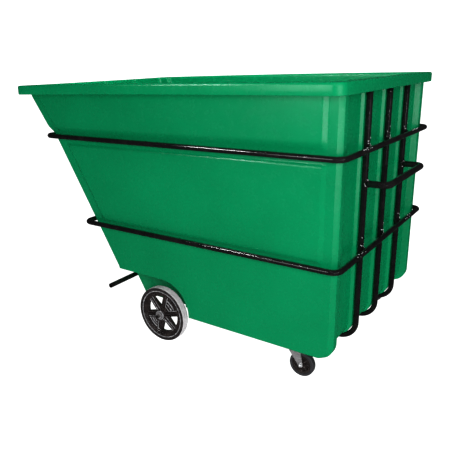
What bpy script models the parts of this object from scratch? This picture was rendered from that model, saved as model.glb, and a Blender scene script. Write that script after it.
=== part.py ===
# Wheeled tilt truck: rotomoulded tub in a welded pipe cradle, two fixed
# main wheels on a through axle and two swivel casters under the back.
# +X runs from the dumping nose to the push handle, +Z is up, the ground is z = 0.
import bpy
import bmesh
import math
from mathutils import Vector, Matrix

# ------------------------------------------------------------------ sizes (m)
GAP = 0.0003                 # gap kept between touching pieces

RIM_XB, RIM_XF = 1.000, -0.971       # rim outer faces, back and nose
RIM_HW = 0.650                       # rim half width
RIM_Z0, RIM_SLOPE = 1.3612, 0.0218   # rim top height at x = 0, rise per metre
RIM_FACE = 0.050                     # height of the rim skirt
RIM_R = 0.045                        # plan radius of the rim corners

WALL = 0.009                 # tub wall
POST_HW = 0.575              # half width over the corner posts
POST_XB = 0.974              # back face of the corner posts
RIDGE_X = 0.9545             # back face of the ridges under the tubes
PANEL_X = 0.9405             # back face of the recessed panels
RIDGE_Y = 0.272              # ridge spacing
TIER_MID, TIER_TOP = 0.008, 0.016    # outset of the middle and top tiers
TUB_Z, TUB_Z_FRONT = 0.157, 0.175    # underside behind and in front of the axle
NOSE_X0, NOSE_Z0, NOSE_K = -0.329, 0.346, 0.5865   # nose line: x = X0 - K (z - Z0)
BACK_R = 0.077               # radius between back wall and underside

WELL_Z, WELL_Y = 0.342, 0.470        # wheel well roof, inner wall
WELL_CX, WELL_CZ, WELL_R = -0.008, 0.170, 0.172

PIPE_R = 0.01335             # 3/4 in pipe
GRIP_R = 0.0159              # 1 1/4 in tube
TUBE_X = RIDGE_X + PIPE_R + 0.0014    # axis of the back tubes
TUBE_Z = TUB_Z - PIPE_R - 0.0014      # axis of their runs under the floor
RING_XB = TUBE_X + 2 * PIPE_R + GAP  # rings pass outside the tubes
RING1 = dict(xf=-0.787, hw=0.608, z0=1.0757, k=0.0094)
RING2 = dict(xf=-0.530, hw=0.606, z0=0.6006, k=0.0060)
RING_BEND = 0.042
HANDLE_X, HANDLE_Z = 1.076, 0.925
BAR_X, BAR_Z, BAR_L = -0.330, 0.260, 1.29

AXLE_R, AXLE_Z = 0.009525, 0.1524
AXLE_TUBE_R, AXLE_TUBE_IR = 0.0167, 0.0106
WHEEL_R, WHEEL_Y, WHEEL_W = 0.1524, 0.582, 0.044
CAST_X, CAST_Y = 0.763, 0.497        # kingpin
TRAIL, CAST_R, CAST_W = 0.034, 0.0635, 0.032

# ------------------------------------------------------------------ helpers
for o in list(bpy.data.objects):
    bpy.data.objects.remove(o, do_unlink=True)
for m in list(bpy.data.meshes):
    bpy.data.meshes.remove(m)


def material(name, rgb, rough, metal=0.0):
    m = bpy.data.materials.new(name)
    m.use_nodes = True
    b = m.node_tree.nodes["Principled BSDF"]
    b.inputs["Base Color"].default_value = (*rgb, 1.0)
    b.inputs["Roughness"].default_value = rough
    b.inputs["Metallic"].default_value = metal
    return m


GREEN = ((0.0, 0.27, 0.10), 0.42, 0.0)
BLACK = ((0.012, 0.011, 0.012), 0.22, 0.3)
CORE = ((0.02, 0.018, 0.018), 0.4, 0.0)
TREAD = ((0.55, 0.52, 0.54), 0.6, 0.0)
RUBBER = ((0.05, 0.05, 0.055), 0.7, 0.0)
ZINC = ((0.55, 0.56, 0.58), 0.3, 1.0)
STEEL = ((0.42, 0.42, 0.44), 0.35, 1.0)
NYLON = ((0.75, 0.74, 0.70), 0.5, 0.0)


def link(name, data, look, smooth=None):
    ob = bpy.data.objects.new(name, data)
    bpy.context.scene.collection.objects.link(ob)
    if look is not None:
        ob.data.materials.append(material("m_" + name, *look))
    if smooth is not None and hasattr(data, "shade_smooth"):
        data.shade_smooth()
        data.set_sharp_from_angle(angle=math.radians(smooth))
    return ob


def mesh_from(bm, name):
    bmesh.ops.recalc_face_normals(bm, faces=bm.faces)
    me = bpy.data.meshes.new(name)
    bm.to_mesh(me)
    bm.free()
    return me


def loft(rings, name):
    """Closed body through a list of equal-length loops, capped at both ends."""
    bm = bmesh.new()
    loops = [[bm.verts.new(p) for p in r] for r in rings]
    n = len(loops[0])
    for a, b in zip(loops, loops[1:]):
        for i in range(n):
            j = (i + 1) % n
            bm.faces.new((a[i], a[j], b[j], b[i]))
    caps = [bm.faces.new(loops[0][::-1]), bm.faces.new(loops[-1])]
    bmesh.ops.triangulate(bm, faces=caps)
    return mesh_from(bm, name)


def turned(profile, n, name, axis="Y", at=(0, 0, 0), flip=1):
    """Closed body turned about an axis from a closed (radius, station) profile."""
    bm = bmesh.new()
    cols = []
    for k in range(n):
        t = 2 * math.pi * k / n
        col = []
        for r, s in profile:
            if axis == "Y":
                p = (at[0] + r * math.cos(t), at[1] + flip * s, at[2] + r * math.sin(t))
            else:
                p = (at[0] + r * math.cos(t), at[1] + r * math.sin(t), at[2] + s)
            col.append(bm.verts.new(p))
        cols.append(col)
    m = len(profile)
    for k in range(n):
        a, b = cols[k], cols[(k + 1) % n]
        for i in range(m):
            j = (i + 1) % m
            bm.faces.new((a[i], a[j], b[j], b[i]))
    return mesh_from(bm, name)


def prism(poly, lo, hi, name, axis="Y"):
    """Polygon in (x, z) swept along Y, or in (x, y) swept along Z."""
    bm = bmesh.new()
    def pt(p, s):
        return (p[0], s, p[1]) if axis == "Y" else (p[0], p[1], s)
    a = [bm.verts.new(pt(p, lo)) for p in poly]
    b = [bm.verts.new(pt(p, hi)) for p in poly]
    n = len(poly)
    for i in range(n):
        j = (i + 1) % n
        bm.faces.new((a[i], a[j], b[j], b[i]))
    bm.faces.new(a[::-1])
    bm.faces.new(b)
    return mesh_from(bm, name)


def merged(parts, name):
    """One mesh out of separate closed solids."""
    bm = bmesh.new()
    for me in parts:
        bm.from_mesh(me)
        bpy.data.meshes.remove(me)
    me = bpy.data.meshes.new(name)
    bm.to_mesh(me)
    bm.free()
    return me


def cutter(name, me):
    ob = bpy.data.objects.new(name, me)
    bpy.context.scene.collection.objects.link(ob)
    ob.hide_render = True
    ob.display_type = "WIRE"
    return ob


def cut(ob, tool, op="DIFFERENCE", solver="EXACT"):
    m = ob.modifiers.new("bool_" + tool.name, "BOOLEAN")
    m.operation = op
    m.solver = solver
    m.object = tool
    return m


def rod(x, y, z0, z1, r, n):
    c = [(x + r * math.cos(2 * math.pi * k / n), y + r * math.sin(2 * math.pi * k / n)) for k in range(n)]
    return prism(c, z0, z1, "rod", "Z")


def filleted(points, r, seg, closed=False):
    """Round the corners of a 3-D polyline with arcs of radius r."""
    pts = [Vector(p) for p in points]
    out = []
    n = len(pts)
    for i, p in enumerate(pts):
        if not closed and i in (0, n - 1):
            out.append(p)
            continue
        a, b = pts[i - 1], pts[(i + 1) % n]
        u, v = (a - p).normalized(), (b - p).normalized()
        ang = u.angle(v)
        d = r / math.tan(ang / 2)
        c = p + (u + v).normalized() * (r / math.sin(ang / 2))
        s, e = p + u * d - c, p + v * d - c
        turn = math.pi - ang
        ax = s.cross(e).normalized()
        for k in range(seg + 1):
            out.append(c + Matrix.Rotation(turn * k / seg, 3, ax) @ s)
    return out


def tube(name, pts, r, look, closed=False, res=2):
    cu = bpy.data.curves.new(name, "CURVE")
    cu.dimensions = "3D"
    cu.bevel_depth = r
    cu.bevel_resolution = res
    cu.use_fill_caps = True
    cu.twist_mode = "MINIMUM"
    sp = cu.splines.new("POLY")
    sp.points.add(len(pts) - 1)
    for q, p in zip(sp.points, pts):
        q.co = (p[0], p[1], p[2], 1.0)
        q.radius = 1.0
    sp.use_cyclic_u = closed
    sp.use_smooth = True
    return link(name, cu, look)


# ------------------------------------------------------------------ tub
def along(steps, z):
    for (z0, a0), (z1, a1) in zip(steps, steps[1:]):
        if z <= z1:
            return a0 + (z - z0) / (z1 - z0) * (a1 - a0)
    return steps[-1][1]


def nose_x(z):
    """Nose face: one slope up to the upper ring, then a step out and a flatter flare."""
    def low(h):
        return NOSE_X0 - NOSE_K * (h - NOSE_Z0)
    if z <= 1.095:
        return low(z)
    return along([(1.095, low(1.095)), (1.129, low(1.129) - 0.030), (1.300, -0.940), (1.352, -0.951), (1.402, -0.954)], z)


def tier(z):
    """Outset of the side panels at a height."""
    return along([(0.0, 0.0), (0.612, 0.0), (0.630, TIER_MID), (1.030, TIER_MID), (1.040, 0.0), (1.095, 0.0),
                  (1.129, TIER_TOP), (1.402, TIER_TOP + 0.002)], z)


CORNER = 4     # segments of a rounded corner


def half_outline(z, inset=0.0, back=0.0, low=0.0):
    """Plan points from back centre round the -Y side to nose centre.

    inset shrinks the outline by the wall, back and low pull the back and the
    sides in for the rounded lower edges."""
    d = tier(z)
    e = inset
    xr, xp, xq = RIDGE_X - e - back, PANEL_X - e - back, POST_XB - e - back
    w = POST_HW - e - low
    xn = nose_x(z) + e * 1.16
    s = 0.55 * e
    Y, P = RIDGE_Y, WELL_Y + 0.035
    pts = [(xr, 0.0), (xr, -0.020 + s), (xp, -0.031 + s), (xp, -(Y - 0.031) - s), (xr, -(Y - 0.020) - s),
           (xr, -(Y + 0.020) + s), (xp, -(Y + 0.031) + s), (xp, -P - s), (xq, -P - 0.012 - s)]
    r = 0.018
    for k in range(CORNER + 1):
        t = math.pi / 2 * k / CORNER
        pts.append((xq - r + r * math.cos(t), -(w - r) - r * math.sin(t)))
    x1, b = min(0.914 - e * 0.5, xq - r - 0.012), 0.020
    xf = xn + 0.075
    pts += [(x1, -w), (x1 - b, -w - d), (xf + b, -w - d), (xf, -w)]
    rn = 0.022
    for k in range(CORNER + 1):
        t = math.pi / 2 * k / CORNER
        pts.append((xn + rn - rn * math.sin(t), -(w - rn) - rn * math.cos(t)))
    xm = xn + 0.014
    pts += [(xn, -P - 0.012 - s), (xm, -P - s), (xm, -(Y + 0.031) + s), (xn, -(Y + 0.020) + s),
            (xn, -(Y - 0.020) - s), (xm, -(Y - 0.031) - s), (xm, -0.031 + s), (xn, -0.020 + s), (xn, 0.0)]
    return pts


def rim_half(inset):
    """Plan points of the rim, one for each point of half_outline."""
    xb, xf, w, r = RIM_XB - inset, RIM_XF + inset, RIM_HW - inset, RIM_R - inset
    body = half_outline(1.34)
    n = len(body)
    i0, i1 = 9, 9 + CORNER
    j0, j1 = i1 + 5, i1 + 5 + CORNER
    out = []
    for i, (x, y) in enumerate(body):
        if i < i0:
            out.append((xb, y))
        elif i <= i1:
            t = math.pi / 2 * (i - i0) / CORNER
            out.append((xb - r + r * math.cos(t), -(w - r) - r * math.sin(t)))
        elif i < j0:
            out.append((x, -w))
        elif i <= j1:
            t = math.pi / 2 * (i - j0) / CORNER
            out.append((xf + r - r * math.sin(t), -(w - r) - r * math.cos(t)))
        else:
            out.append((xf, y))
    assert len(out) == n
    return out


def whole(half, z0, flat=False):
    """Mirror a half outline and lift it to its height, sheared like the rim."""
    full = list(half) + [(x, -y) for x, y in half[-2:0:-1]]
    k = 0.0 if flat else RIM_SLOPE * max(0.0, min(1.0, (z0 - 0.30) / (RIM_Z0 - 0.30)))
    return [(x, y, z0 + k * x) for x, y in full]


def bottom_rings(z_floor, inset):
    """Rounded lower edge: the back on a large radius, the sides on a small one."""
    rings = []
    r = BACK_R - inset
    for a in (72, 48, 26, 10, 0):
        t = math.radians(a)
        z = z_floor + r * (1 - math.sin(math.radians(90 - a)) if False else 1 - math.cos(math.radians(90 - a)))
        z = z_floor + r * (1 - math.sin(t))
        back = r * (1 - math.cos(t))
        low = 0.018 * (1 - math.sqrt(max(0.0, 1 - max(0.0, 1 - (z - z_floor) / 0.018) ** 2)))
        rings.append(whole(half_outline(z, inset, back, low), z, True))
    return rings


LEVELS = [0.300, 0.612, 0.630, 1.030, 1.040, 1.095, 1.129, 1.300]
outer = bottom_rings(TUB_Z, 0.0)
outer[0:0] = [whole(half_outline(TUB_Z, 0.0, BACK_R * 0.78, 0.018), TUB_Z, True)]
outer += [whole(half_outline(z), z) for z in LEVELS]
top = RIM_Z0
outer += [whole(half_outline(top - WALL), top - WALL),
          whole(rim_half(WALL), top - WALL),
          whole(rim_half(WALL), top - RIM_FACE),
          whole(rim_half(0.001), top - RIM_FACE),
          whole(rim_half(0.0), top - RIM_FACE + 0.004),
          whole(rim_half(0.0), top - 0.012),
          whole(rim_half(0.004), top - 0.003),
          whole(rim_half(0.014), top)]
tub = link("tub", loft(outer, "tub"), GREEN)

inner = bottom_rings(TUB_Z + WALL, WALL)
inner[0:0] = [whole(half_outline(TUB_Z + WALL, WALL, (BACK_R - WALL) * 0.78, 0.018), TUB_Z + WALL, True)]
inner += [whole(half_outline(z, WALL), z) for z in LEVELS]
inner += [whole(half_outline(top - 0.010, WALL), top - 0.010),
          whole(half_outline(top + 0.040, WALL), top + 0.040)]
cavity = cutter("tub_cavity", loft(inner, "tub_cavity"))


def well_profile(grow):
    z, r = WELL_Z + grow, WELL_R + grow
    pts = [(-0.9, 0.02), (-0.9, z)]
    for k in range(9):
        t = math.radians(90 - 90 * k / 8)
        pts.append((WELL_CX + r * math.cos(t), WELL_CZ + r * math.sin(t)))
    pts += [(WELL_CX + r, 0.02)]
    return pts


def well(grow, side, name):
    lo, hi = sorted((side * (WELL_Y - grow), side * 0.9))
    return cutter(name, prism(well_profile(grow), lo, hi, name))


def relief(z, x, name):
    return cutter(name, prism([(-0.9, 0.0), (-0.9, z), (x, z), (x + 0.018, 0.0)], -0.8, 0.8, name))


cut(cavity, well(WALL, -1, "cavity_well_left"))
cut(cavity, well(WALL, 1, "cavity_well_right"))
cut(cavity, relief(TUB_Z_FRONT + WALL, 0.064 + WALL, "cavity_step"))
cut(tub, well(0.0, -1, "well_left"))
cut(tub, well(0.0, 1, "well_right"))
cut(tub, relief(TUB_Z_FRONT, 0.064, "floor_step"))
cut(tub, cavity)

# bolt positions through the floor: four at each caster, two at each front plate
PLATE_DX, PLATE_DY = 0.036, 0.034
BOLTS = [(CAST_X + a * PLATE_DX, s * (CAST_Y + b * PLATE_DY)) for s in (-1, 1) for a in (-1, 1) for b in (-1, 1)]
BOLTS += [(0.125, s * y) for s in (-1, 1) for y in (0.312, 0.372)]
HOLE_R, BOLT_R = 0.0054, 0.0048
holes = cutter("floor_holes", merged([rod(x, y, 0.10, 0.20, HOLE_R, 10) for x, y in BOLTS], "floor_holes"))
cut(tub, holes)


# ------------------------------------------------------------------ cradle
def ring(name, spec):
    p = [(RING_XB, -spec["hw"]), (RING_XB, spec["hw"]), (spec["xf"], spec["hw"]), (spec["xf"], -spec["hw"])]
    pts = [(x, y, spec["z0"] + spec["k"] * x) for x, y in p]
    return tube(name, filleted(pts, RING_BEND, 5, True), PIPE_R, BLACK, closed=True)


ring("upper_ring", RING1)
ring("lower_ring", RING2)

for tag, y in (("left", -RIDGE_Y), ("middle", 0.0), ("right", RIDGE_Y)):
    path = [(TUBE_X, y, RIM_Z0 + RIM_SLOPE * TUBE_X - WALL - 0.012), (TUBE_X, y, TUBE_Z),
            (AXLE_TUBE_R + GAP + 0.0005, y, TUBE_Z)]
    tube("back_tube_" + tag, filleted(path, 0.088, 8), PIPE_R, BLACK)

hx = TUBE_X + PIPE_R + 0.0006
tube("push_handle", filleted([(hx, -RIDGE_Y, HANDLE_Z), (HANDLE_X, -RIDGE_Y, HANDLE_Z),
                              (HANDLE_X, RIDGE_Y, HANDLE_Z), (hx, RIDGE_Y, HANDLE_Z)], 0.034, 5),
     GRIP_R, BLACK)


def pipe(name, x, z, half, r_out, r_in, look, n=16):
    prof = [(r_in, -half), (r_out, -half), (r_out, half), (r_in, half)]
    return link(name, turned(prof, n, name, "Y", (x, 0.0, z)), look, 40)


pipe("dump_bar", BAR_X, BAR_Z, BAR_L / 2, PIPE_R, PIPE_R - 0.0029, BLACK, 12)
pipe("axle_tube", 0.0, AXLE_Z, 0.5430, AXLE_TUBE_R, AXLE_TUBE_IR, BLACK)

bar = Vector((BAR_X, 0.0, BAR_Z))
knee = Vector((-0.242, 0.0, AXLE_Z))
stop = bar + (knee - bar).normalized() * (PIPE_R + 0.0006)
for tag, s in (("left", -1), ("right", 1)):
    off = Vector((0.0, s * RIDGE_Y, 0.0))
    path = [Vector((-AXLE_TUBE_R - 0.0006, 0.0, AXLE_Z)) + off, knee + off, stop + off]
    tube("bar_strut_" + tag, filleted(path, 0.060, 4), PIPE_R, BLACK)

# ------------------------------------------------------------------ plates and floor bolts
MP_TOP = TUB_Z - 0.0004
MP_BOT = MP_TOP - 0.006
CP_TOP = MP_BOT - GAP
CP_BOT = CP_TOP - 0.003


def slab(name, x0, x1, y0, y1, z0, z1, look):
    r = 0.008
    poly = []
    for cx, cy, a0 in ((x1 - r, y1 - r, 0), (x0 + r, y1 - r, 90), (x0 + r, y0 + r, 180), (x1 - r, y0 + r, 270)):
        for k in range(3):
            t = math.radians(a0 + 45 * k)
            poly.append((cx + r * math.cos(t), cy + r * math.sin(t)))
    ob = link(name, prism(poly, z0, z1, name, "Z"), look)
    cut(ob, holes)
    return ob


inner_y = RIDGE_Y + PIPE_R + 0.0005
for tag, s in (("left", -1), ("right", 1)):
    y0, y1 = sorted((s * inner_y, s * 0.549))
    slab("caster_mount_plate_" + tag, CAST_X - 0.062, CAST_X + 0.062, y0, y1, MP_BOT, MP_TOP, BLACK)
    y0, y1 = sorted((s * inner_y, s * 0.402))
    slab("front_mount_plate_" + tag, 0.092, 0.158, y0, y1, MP_BOT, MP_TOP, BLACK)
    y0, y1 = sorted((s * (CAST_Y - 0.050), s * (CAST_Y + 0.050)))
    ob = slab("caster_plate_" + tag, CAST_X - 0.049, CAST_X + 0.049, y0, y1, CP_BOT, CP_TOP, ZINC)
    pin = cutter("pin_hole_" + tag, rod(CAST_X, s * CAST_Y, CP_BOT - 0.01, CP_TOP + 0.01, 0.0064, 12))
    cut(ob, pin)

FLOOR = TUB_Z + WALL + GAP
for i, (x, y) in enumerate(BOLTS):
    # carriage bolt: domed head on the tub floor, shank down through the plates
    z_low = (CP_BOT if i < 8 else MP_BOT) - 0.0085
    prof = [(z_low, BOLT_R), (FLOOR, BOLT_R), (FLOOR, 0.0110), (FLOOR + 0.0025, 0.0102), (FLOOR + 0.0042, 0.0050)]
    n = 10
    bm = bmesh.new()
    loops = [[bm.verts.new((r * math.cos(2 * math.pi * k / n), r * math.sin(2 * math.pi * k / n), z - FLOOR)) for k in range(n)]
             for z, r in prof]
    for p, q in zip(loops, loops[1:]):
        for k in range(n):
            j = (k + 1) % n
            bm.faces.new((p[k], p[j], q[j], q[k]))
    bm.faces.new(loops[0][::-1])
    bm.faces.new(loops[-1])
    ob = link("floor_bolt_%02d" % (i + 1), mesh_from(bm, "floor_bolt"), ZINC, 40)
    ob.location = (x, y, FLOOR)


# ------------------------------------------------------------------ main axle and wheels
def capped(profile, n, name, axis, at, flip=1):
    """Solid turned body: the profile's ends lie on the axis."""
    bm = bmesh.new()
    def pt(r, s, t):
        if axis == "Y":
            return (at[0] + r * math.cos(t), at[1] + flip * s, at[2] + r * math.sin(t))
        return (at[0] + r * math.cos(t), at[1] + r * math.sin(t), at[2] + s)
    cols = [[bm.verts.new(pt(r, s, 2 * math.pi * k / n)) for r, s in profile] for k in range(n)]
    for k in range(n):
        a, b = cols[k], cols[(k + 1) % n]
        for j in range(len(profile) - 1):
            bm.faces.new((a[j], b[j], b[j + 1], a[j + 1]))
    bm.faces.new([c[0] for c in cols])
    bm.faces.new([c[-1] for c in cols])
    return mesh_from(bm, name)


AXLE_END = 0.634
link("axle", capped([(AXLE_R - 0.0015, -AXLE_END), (AXLE_R, -AXLE_END + 0.0015), (AXLE_R, AXLE_END - 0.0015),
                     (AXLE_R - 0.0015, AXLE_END)], 24, "axle", "Y", (0, 0, AXLE_Z)), STEEL, 40)
PIN_Y = 0.6265
axle = bpy.data.objects["axle"]
for tag, s in (("left", -1), ("right", 1)):
    cut(axle, cutter("cotter_hole_" + tag, rod(0.0, s * PIN_Y, AXLE_Z - 0.03, AXLE_Z + 0.03, 0.0021, 8)))
    link("cotter_pin_" + tag, rod(0.0, s * PIN_Y, AXLE_Z - 0.0145, AXLE_Z + 0.0145, 0.0017, 8), ZINC, 40)

HUB_IN, HUB_OUT = WHEEL_Y - 0.034, WHEEL_Y + 0.036
for tag, s in (("left", -1), ("right", 1)):
    for where, y0, t in (("inner", 0.5436, 0.0038), ("outer", HUB_OUT + 0.0006, 0.0030)):
        prof = [(AXLE_R + 0.0006, y0), (0.0185, y0), (0.0185, y0 + t), (AXLE_R + 0.0006, y0 + t)]
        link("axle_washer_%s_%s" % (where, tag), turned(prof, 20, "aw", "Y", (0, 0, AXLE_Z), s), ZINC, 40)

BUSH_R = 0.0145
core_prof = [(BUSH_R + GAP, -0.034), (0.024, -0.034), (0.027, -0.030), (0.029, -0.006),
             (0.104, -0.006), (0.110, -0.019), (0.1375, -0.019), (0.1375, 0.019),
             (0.122, 0.0185), (0.112, 0.012), (0.104, 0.006), (0.029, 0.006), (0.027, 0.032), (0.024, 0.036), (BUSH_R + GAP, 0.036)]
tyre_prof = [(0.1378, -0.0215), (0.1470, -0.0220), (0.1510, -0.0200), (0.1524, -0.0160), (0.1524, 0.0160),
             (0.1510, 0.0200), (0.1470, 0.0220), (0.1378, 0.0215)]


def window(k, half, apex, r_out, y0, y1, centre, name):
    """Three-sided opening between two spokes, apex towards the hub."""
    mid = math.radians(45 + 60 * k)
    a0 = math.asin(half / r_out)
    pts = [(apex, 0.0)]
    for j in range(4):
        t = -(math.radians(30) - a0) + j / 3 * 2 * (math.radians(30) - a0)
        pts.append((r_out * math.cos(t), r_out * math.sin(t)))
    c, s = math.cos(mid), math.sin(mid)
    poly = [(centre[0] + x * c - z * s, centre[1] + x * s + z * c) for x, z in pts]
    return prism(poly, y0, y1, name)


for tag, s in (("left", -1), ("right", 1)):
    at = (0.0, s * WHEEL_Y, AXLE_Z)
    core = link("wheel_core_" + tag, turned(core_prof, 36, "wheel_core_" + tag, "Y", at, s), CORE, 35)
    y0, y1 = sorted((s * (WHEEL_Y - 0.03), s * (WHEEL_Y + 0.03)))
    win = cutter("wheel_windows_" + tag, merged([window(k, 0.0185, 0.040, 0.101, y0, y1, (0.0, AXLE_Z), "w") for k in (1, 2, 4, 5)], "wheel_windows_" + tag))
    cut(core, win)
    link("tyre_" + tag, turned(tyre_prof, 36, "tyre_" + tag, "Y", at, s), TREAD, 35)
    bush = [(AXLE_R + 0.0002, -0.0338), (BUSH_R, -0.0338), (BUSH_R, 0.0358), (AXLE_R + 0.0002, 0.0358)]
    link("wheel_bushing_" + tag, turned(bush, 24, "wheel_bushing_" + tag, "Y", at, s), NYLON, 35)

# ------------------------------------------------------------------ swivel casters
CROWN_TOP, CROWN_BOT = CP_BOT - 0.0093, CP_BOT - 0.0133
LEG_IN, LEG_T = 0.0195, 0.0035
CAX_R = 0.0050
SLEEVE_R = 0.0075

for tag, s in (("left", -1), ("right", 1)):
    yk = s * CAST_Y
    xa, za = CAST_X + TRAIL, CAST_R
    race = [(0.0068, CP_BOT - GAP), (0.0068, CROWN_TOP + GAP), (0.024, CROWN_TOP + GAP), (0.0275, CROWN_TOP + 0.004),
            (0.0275, CP_BOT - 0.002), (0.026, CP_BOT - GAP)]
    link("swivel_bearing_" + tag, turned(race, 20, "race", "Z", (CAST_X, yk, 0.0)), ZINC, 40)
    pin = [(0.0095, CROWN_BOT - 0.0042), (0.0105, CROWN_BOT - 0.0030), (0.0105, CROWN_BOT - GAP), (0.0060, CROWN_BOT - GAP),
           (0.0060, CP_TOP - 0.0002)]
    link("kingpin_" + tag, capped(pin, 16, "kingpin", "Z", (CAST_X, yk, 0.0)), STEEL, 40)

    # fork: a folded channel trimmed to the legs' tapering outline
    w = LEG_IN + LEG_T
    chan = [(-w, -0.02), (-LEG_IN, -0.02), (-LEG_IN, CROWN_BOT), (LEG_IN, CROWN_BOT), (LEG_IN, -0.02), (w, -0.02),
            (w, CROWN_TOP - 0.003), (w - 0.003, CROWN_TOP), (-w + 0.003, CROWN_TOP), (-w, CROWN_TOP - 0.003)]
    bm = bmesh.new()
    a = [bm.verts.new((CAST_X - 0.09, yk + y, z)) for y, z in chan]
    b = [bm.verts.new((CAST_X + 0.12, yk + y, z)) for y, z in chan]
    for i in range(len(chan)):
        j = (i + 1) % len(chan)
        bm.faces.new((a[i], a[j], b[j], b[i]))
    bm.faces.new(a[::-1])
    bm.faces.new(b)
    fork = link("caster_fork_" + tag, mesh_from(bm, "fork"), ZINC, 40)
    side = [(CAST_X - 0.030, CROWN_TOP + 0.01), (CAST_X - 0.030, CROWN_BOT - 0.006)]
    for k in range(7):
        t = math.radians(205 + 22 * k)
        side.append((xa + 0.0125 * math.cos(t), za + 0.0125 * math.sin(t)))
    side += [(CAST_X + 0.031, CROWN_BOT - 0.004), (CAST_X + 0.031, CROWN_TOP + 0.01)]
    cut(fork, cutter("fork_side_" + tag, prism(side, yk - 0.05, yk + 0.05, "fork_side_" + tag)), "INTERSECT")
    cut(fork, cutter("fork_pin_hole_" + tag, rod(CAST_X, yk, CROWN_BOT - 0.01, CROWN_TOP + 0.01, 0.0064, 16)))
    hole = [(xa + (CAX_R + GAP) * math.cos(math.pi / 6 * k), za + (CAX_R + GAP) * math.sin(math.pi / 6 * k)) for k in range(12)]
    cut(fork, cutter("fork_axle_hole_" + tag, prism(hole, yk - 0.05, yk + 0.05, "fork_axle_hole_" + tag)))

    at = (xa, yk, za)
    cr = [(SLEEVE_R + 0.00035, -0.0175), (0.0130, -0.0175), (0.0155, -0.005), (0.036, -0.005), (0.040, -0.014),
          (0.0475, -0.014), (0.0475, 0.014), (0.040, 0.014), (0.036, 0.005), (0.0155, 0.005), (0.0130, 0.0175), (SLEEVE_R + 0.00035, 0.0175)]
    link("caster_core_" + tag, turned(cr, 16, "core", "Y", at), CORE, 35)
    tr = [(0.0487, -0.0150), (0.0595, -0.0158), (CAST_R, -0.0100), (CAST_R, 0.0100), (0.0595, 0.0158), (0.0487, 0.0150)]
    link("caster_tread_" + tag, turned(tr, 28, "tread", "Y", at), RUBBER, 35)
    sl = [(CAX_R + GAP, -LEG_IN + GAP), (SLEEVE_R, -LEG_IN + GAP), (SLEEVE_R, LEG_IN - GAP), (CAX_R + GAP, LEG_IN - GAP)]
    link("caster_sleeve_" + tag, turned(sl, 16, "sleeve", "Y", at), STEEL, 35)

    # axle bolt: hexagonal head on the inner side, thread end outwards
    head_y, tip = -(w + GAP), w + 0.0125
    bm = bmesh.new()
    def ring_at(y, r, n, ph=0.0):
        return [bm.verts.new((xa + r * math.cos(2 * math.pi * k / n + ph), yk + s * y, za + r * math.sin(2 * math.pi * k / n + ph))) for k in range(n)]
    h0, h1 = ring_at(head_y - 0.0060, 0.0096, 12), ring_at(head_y, 0.0096, 12)
    k0, k1 = ring_at(head_y, CAX_R, 12), ring_at(tip, CAX_R, 12)
    for p, q in ((h0, h1), (h1, k0), (k0, k1)):
        for k in range(12):
            j = (k + 1) % 12
            bm.faces.new((p[k], p[j], q[j], q[k]))
    bm.faces.new(h0)
    bm.faces.new(k1)
    link("caster_axle_bolt_" + tag, mesh_from(bm, "cbolt"), ZINC, 40)
    bm = bmesh.new()
    rows = []
    for y in (w + GAP, w + GAP + 0.0080):
        rows.append(([bm.verts.new((xa + 0.0095 * math.cos(math.pi / 3 * k), yk + s * y, za + 0.0095 * math.sin(math.pi / 3 * k))) for k in range(6)],
                     [bm.verts.new((xa + 0.0062 * math.cos(math.pi / 3 * k), yk + s * y, za + 0.0062 * math.sin(math.pi / 3 * k))) for k in range(6)]))
    (o0, i0), (o1, i1) = rows
    for k in range(6):
        j = (k + 1) % 6
        bm.faces.new((o0[k], o0[j], o1[j], o1[k]))
        bm.faces.new((i0[j], i0[k], i1[k], i1[j]))
        bm.faces.new((o1[k], o1[j], i1[j], i1[k]))
        bm.faces.new((o0[j], o0[k], i0[k], i0[j]))
    link("caster_axle_nut_" + tag, mesh_from(bm, "cnut"), ZINC)

# cut pieces: merge the flat faces the cuts left in strips, then divide them evenly
for ob in list(bpy.data.objects):
    if ob.hide_render or ob.type != "MESH" or not ob.modifiers:
        continue
    flat = ob.modifiers.new("flat", "DECIMATE")
    flat.decimate_type = "DISSOLVE"
    flat.angle_limit = math.radians(0.4)
    tris = ob.modifiers.new("tris", "TRIANGULATE")
    tris.ngon_method = "BEAUTY"
    tris.quad_method = "BEAUTY"

# moving pieces turn about their own joint axes: put their origins there
PIVOTS = {}
for tag, s in (("left", -1), ("right", 1)):
    for n in ("wheel_core_", "tyre_", "wheel_bushing_"):
        PIVOTS[n + tag] = (0.0, s * WHEEL_Y, AXLE_Z)
    for n in ("caster_core_", "caster_tread_"):
        PIVOTS[n + tag] = (CAST_X + TRAIL, s * CAST_Y, CAST_R)
    for n in ("caster_fork_", "caster_sleeve_", "caster_axle_bolt_", "caster_axle_nut_"):
        PIVOTS[n + tag] = (CAST_X, s * CAST_Y, CAST_R)
for n, p in PIVOTS.items():
    ob = bpy.data.objects[n]
    ob.data.transform(Matrix.Translation(-Vector(p)))
    ob.location = p

# the frame's origin is on the ground, midway along the whole truck: everything
# hangs from one empty that carries the axle line forward of it
MID_X = (HANDLE_X + GRIP_R + RIM_XF) / 2
origin = bpy.data.objects.new("axle_line", None)
bpy.context.scene.collection.objects.link(origin)
for ob in list(bpy.data.objects):
    if ob is not origin:
        ob.parent = origin
origin.location = (-MID_X, 0.0, 0.0)
bpy.context.view_layer.update()
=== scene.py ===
# Looks of the wheeled tilt truck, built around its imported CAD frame.
import bpy
import bmesh
import math
from mathutils import Vector, Matrix


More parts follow.
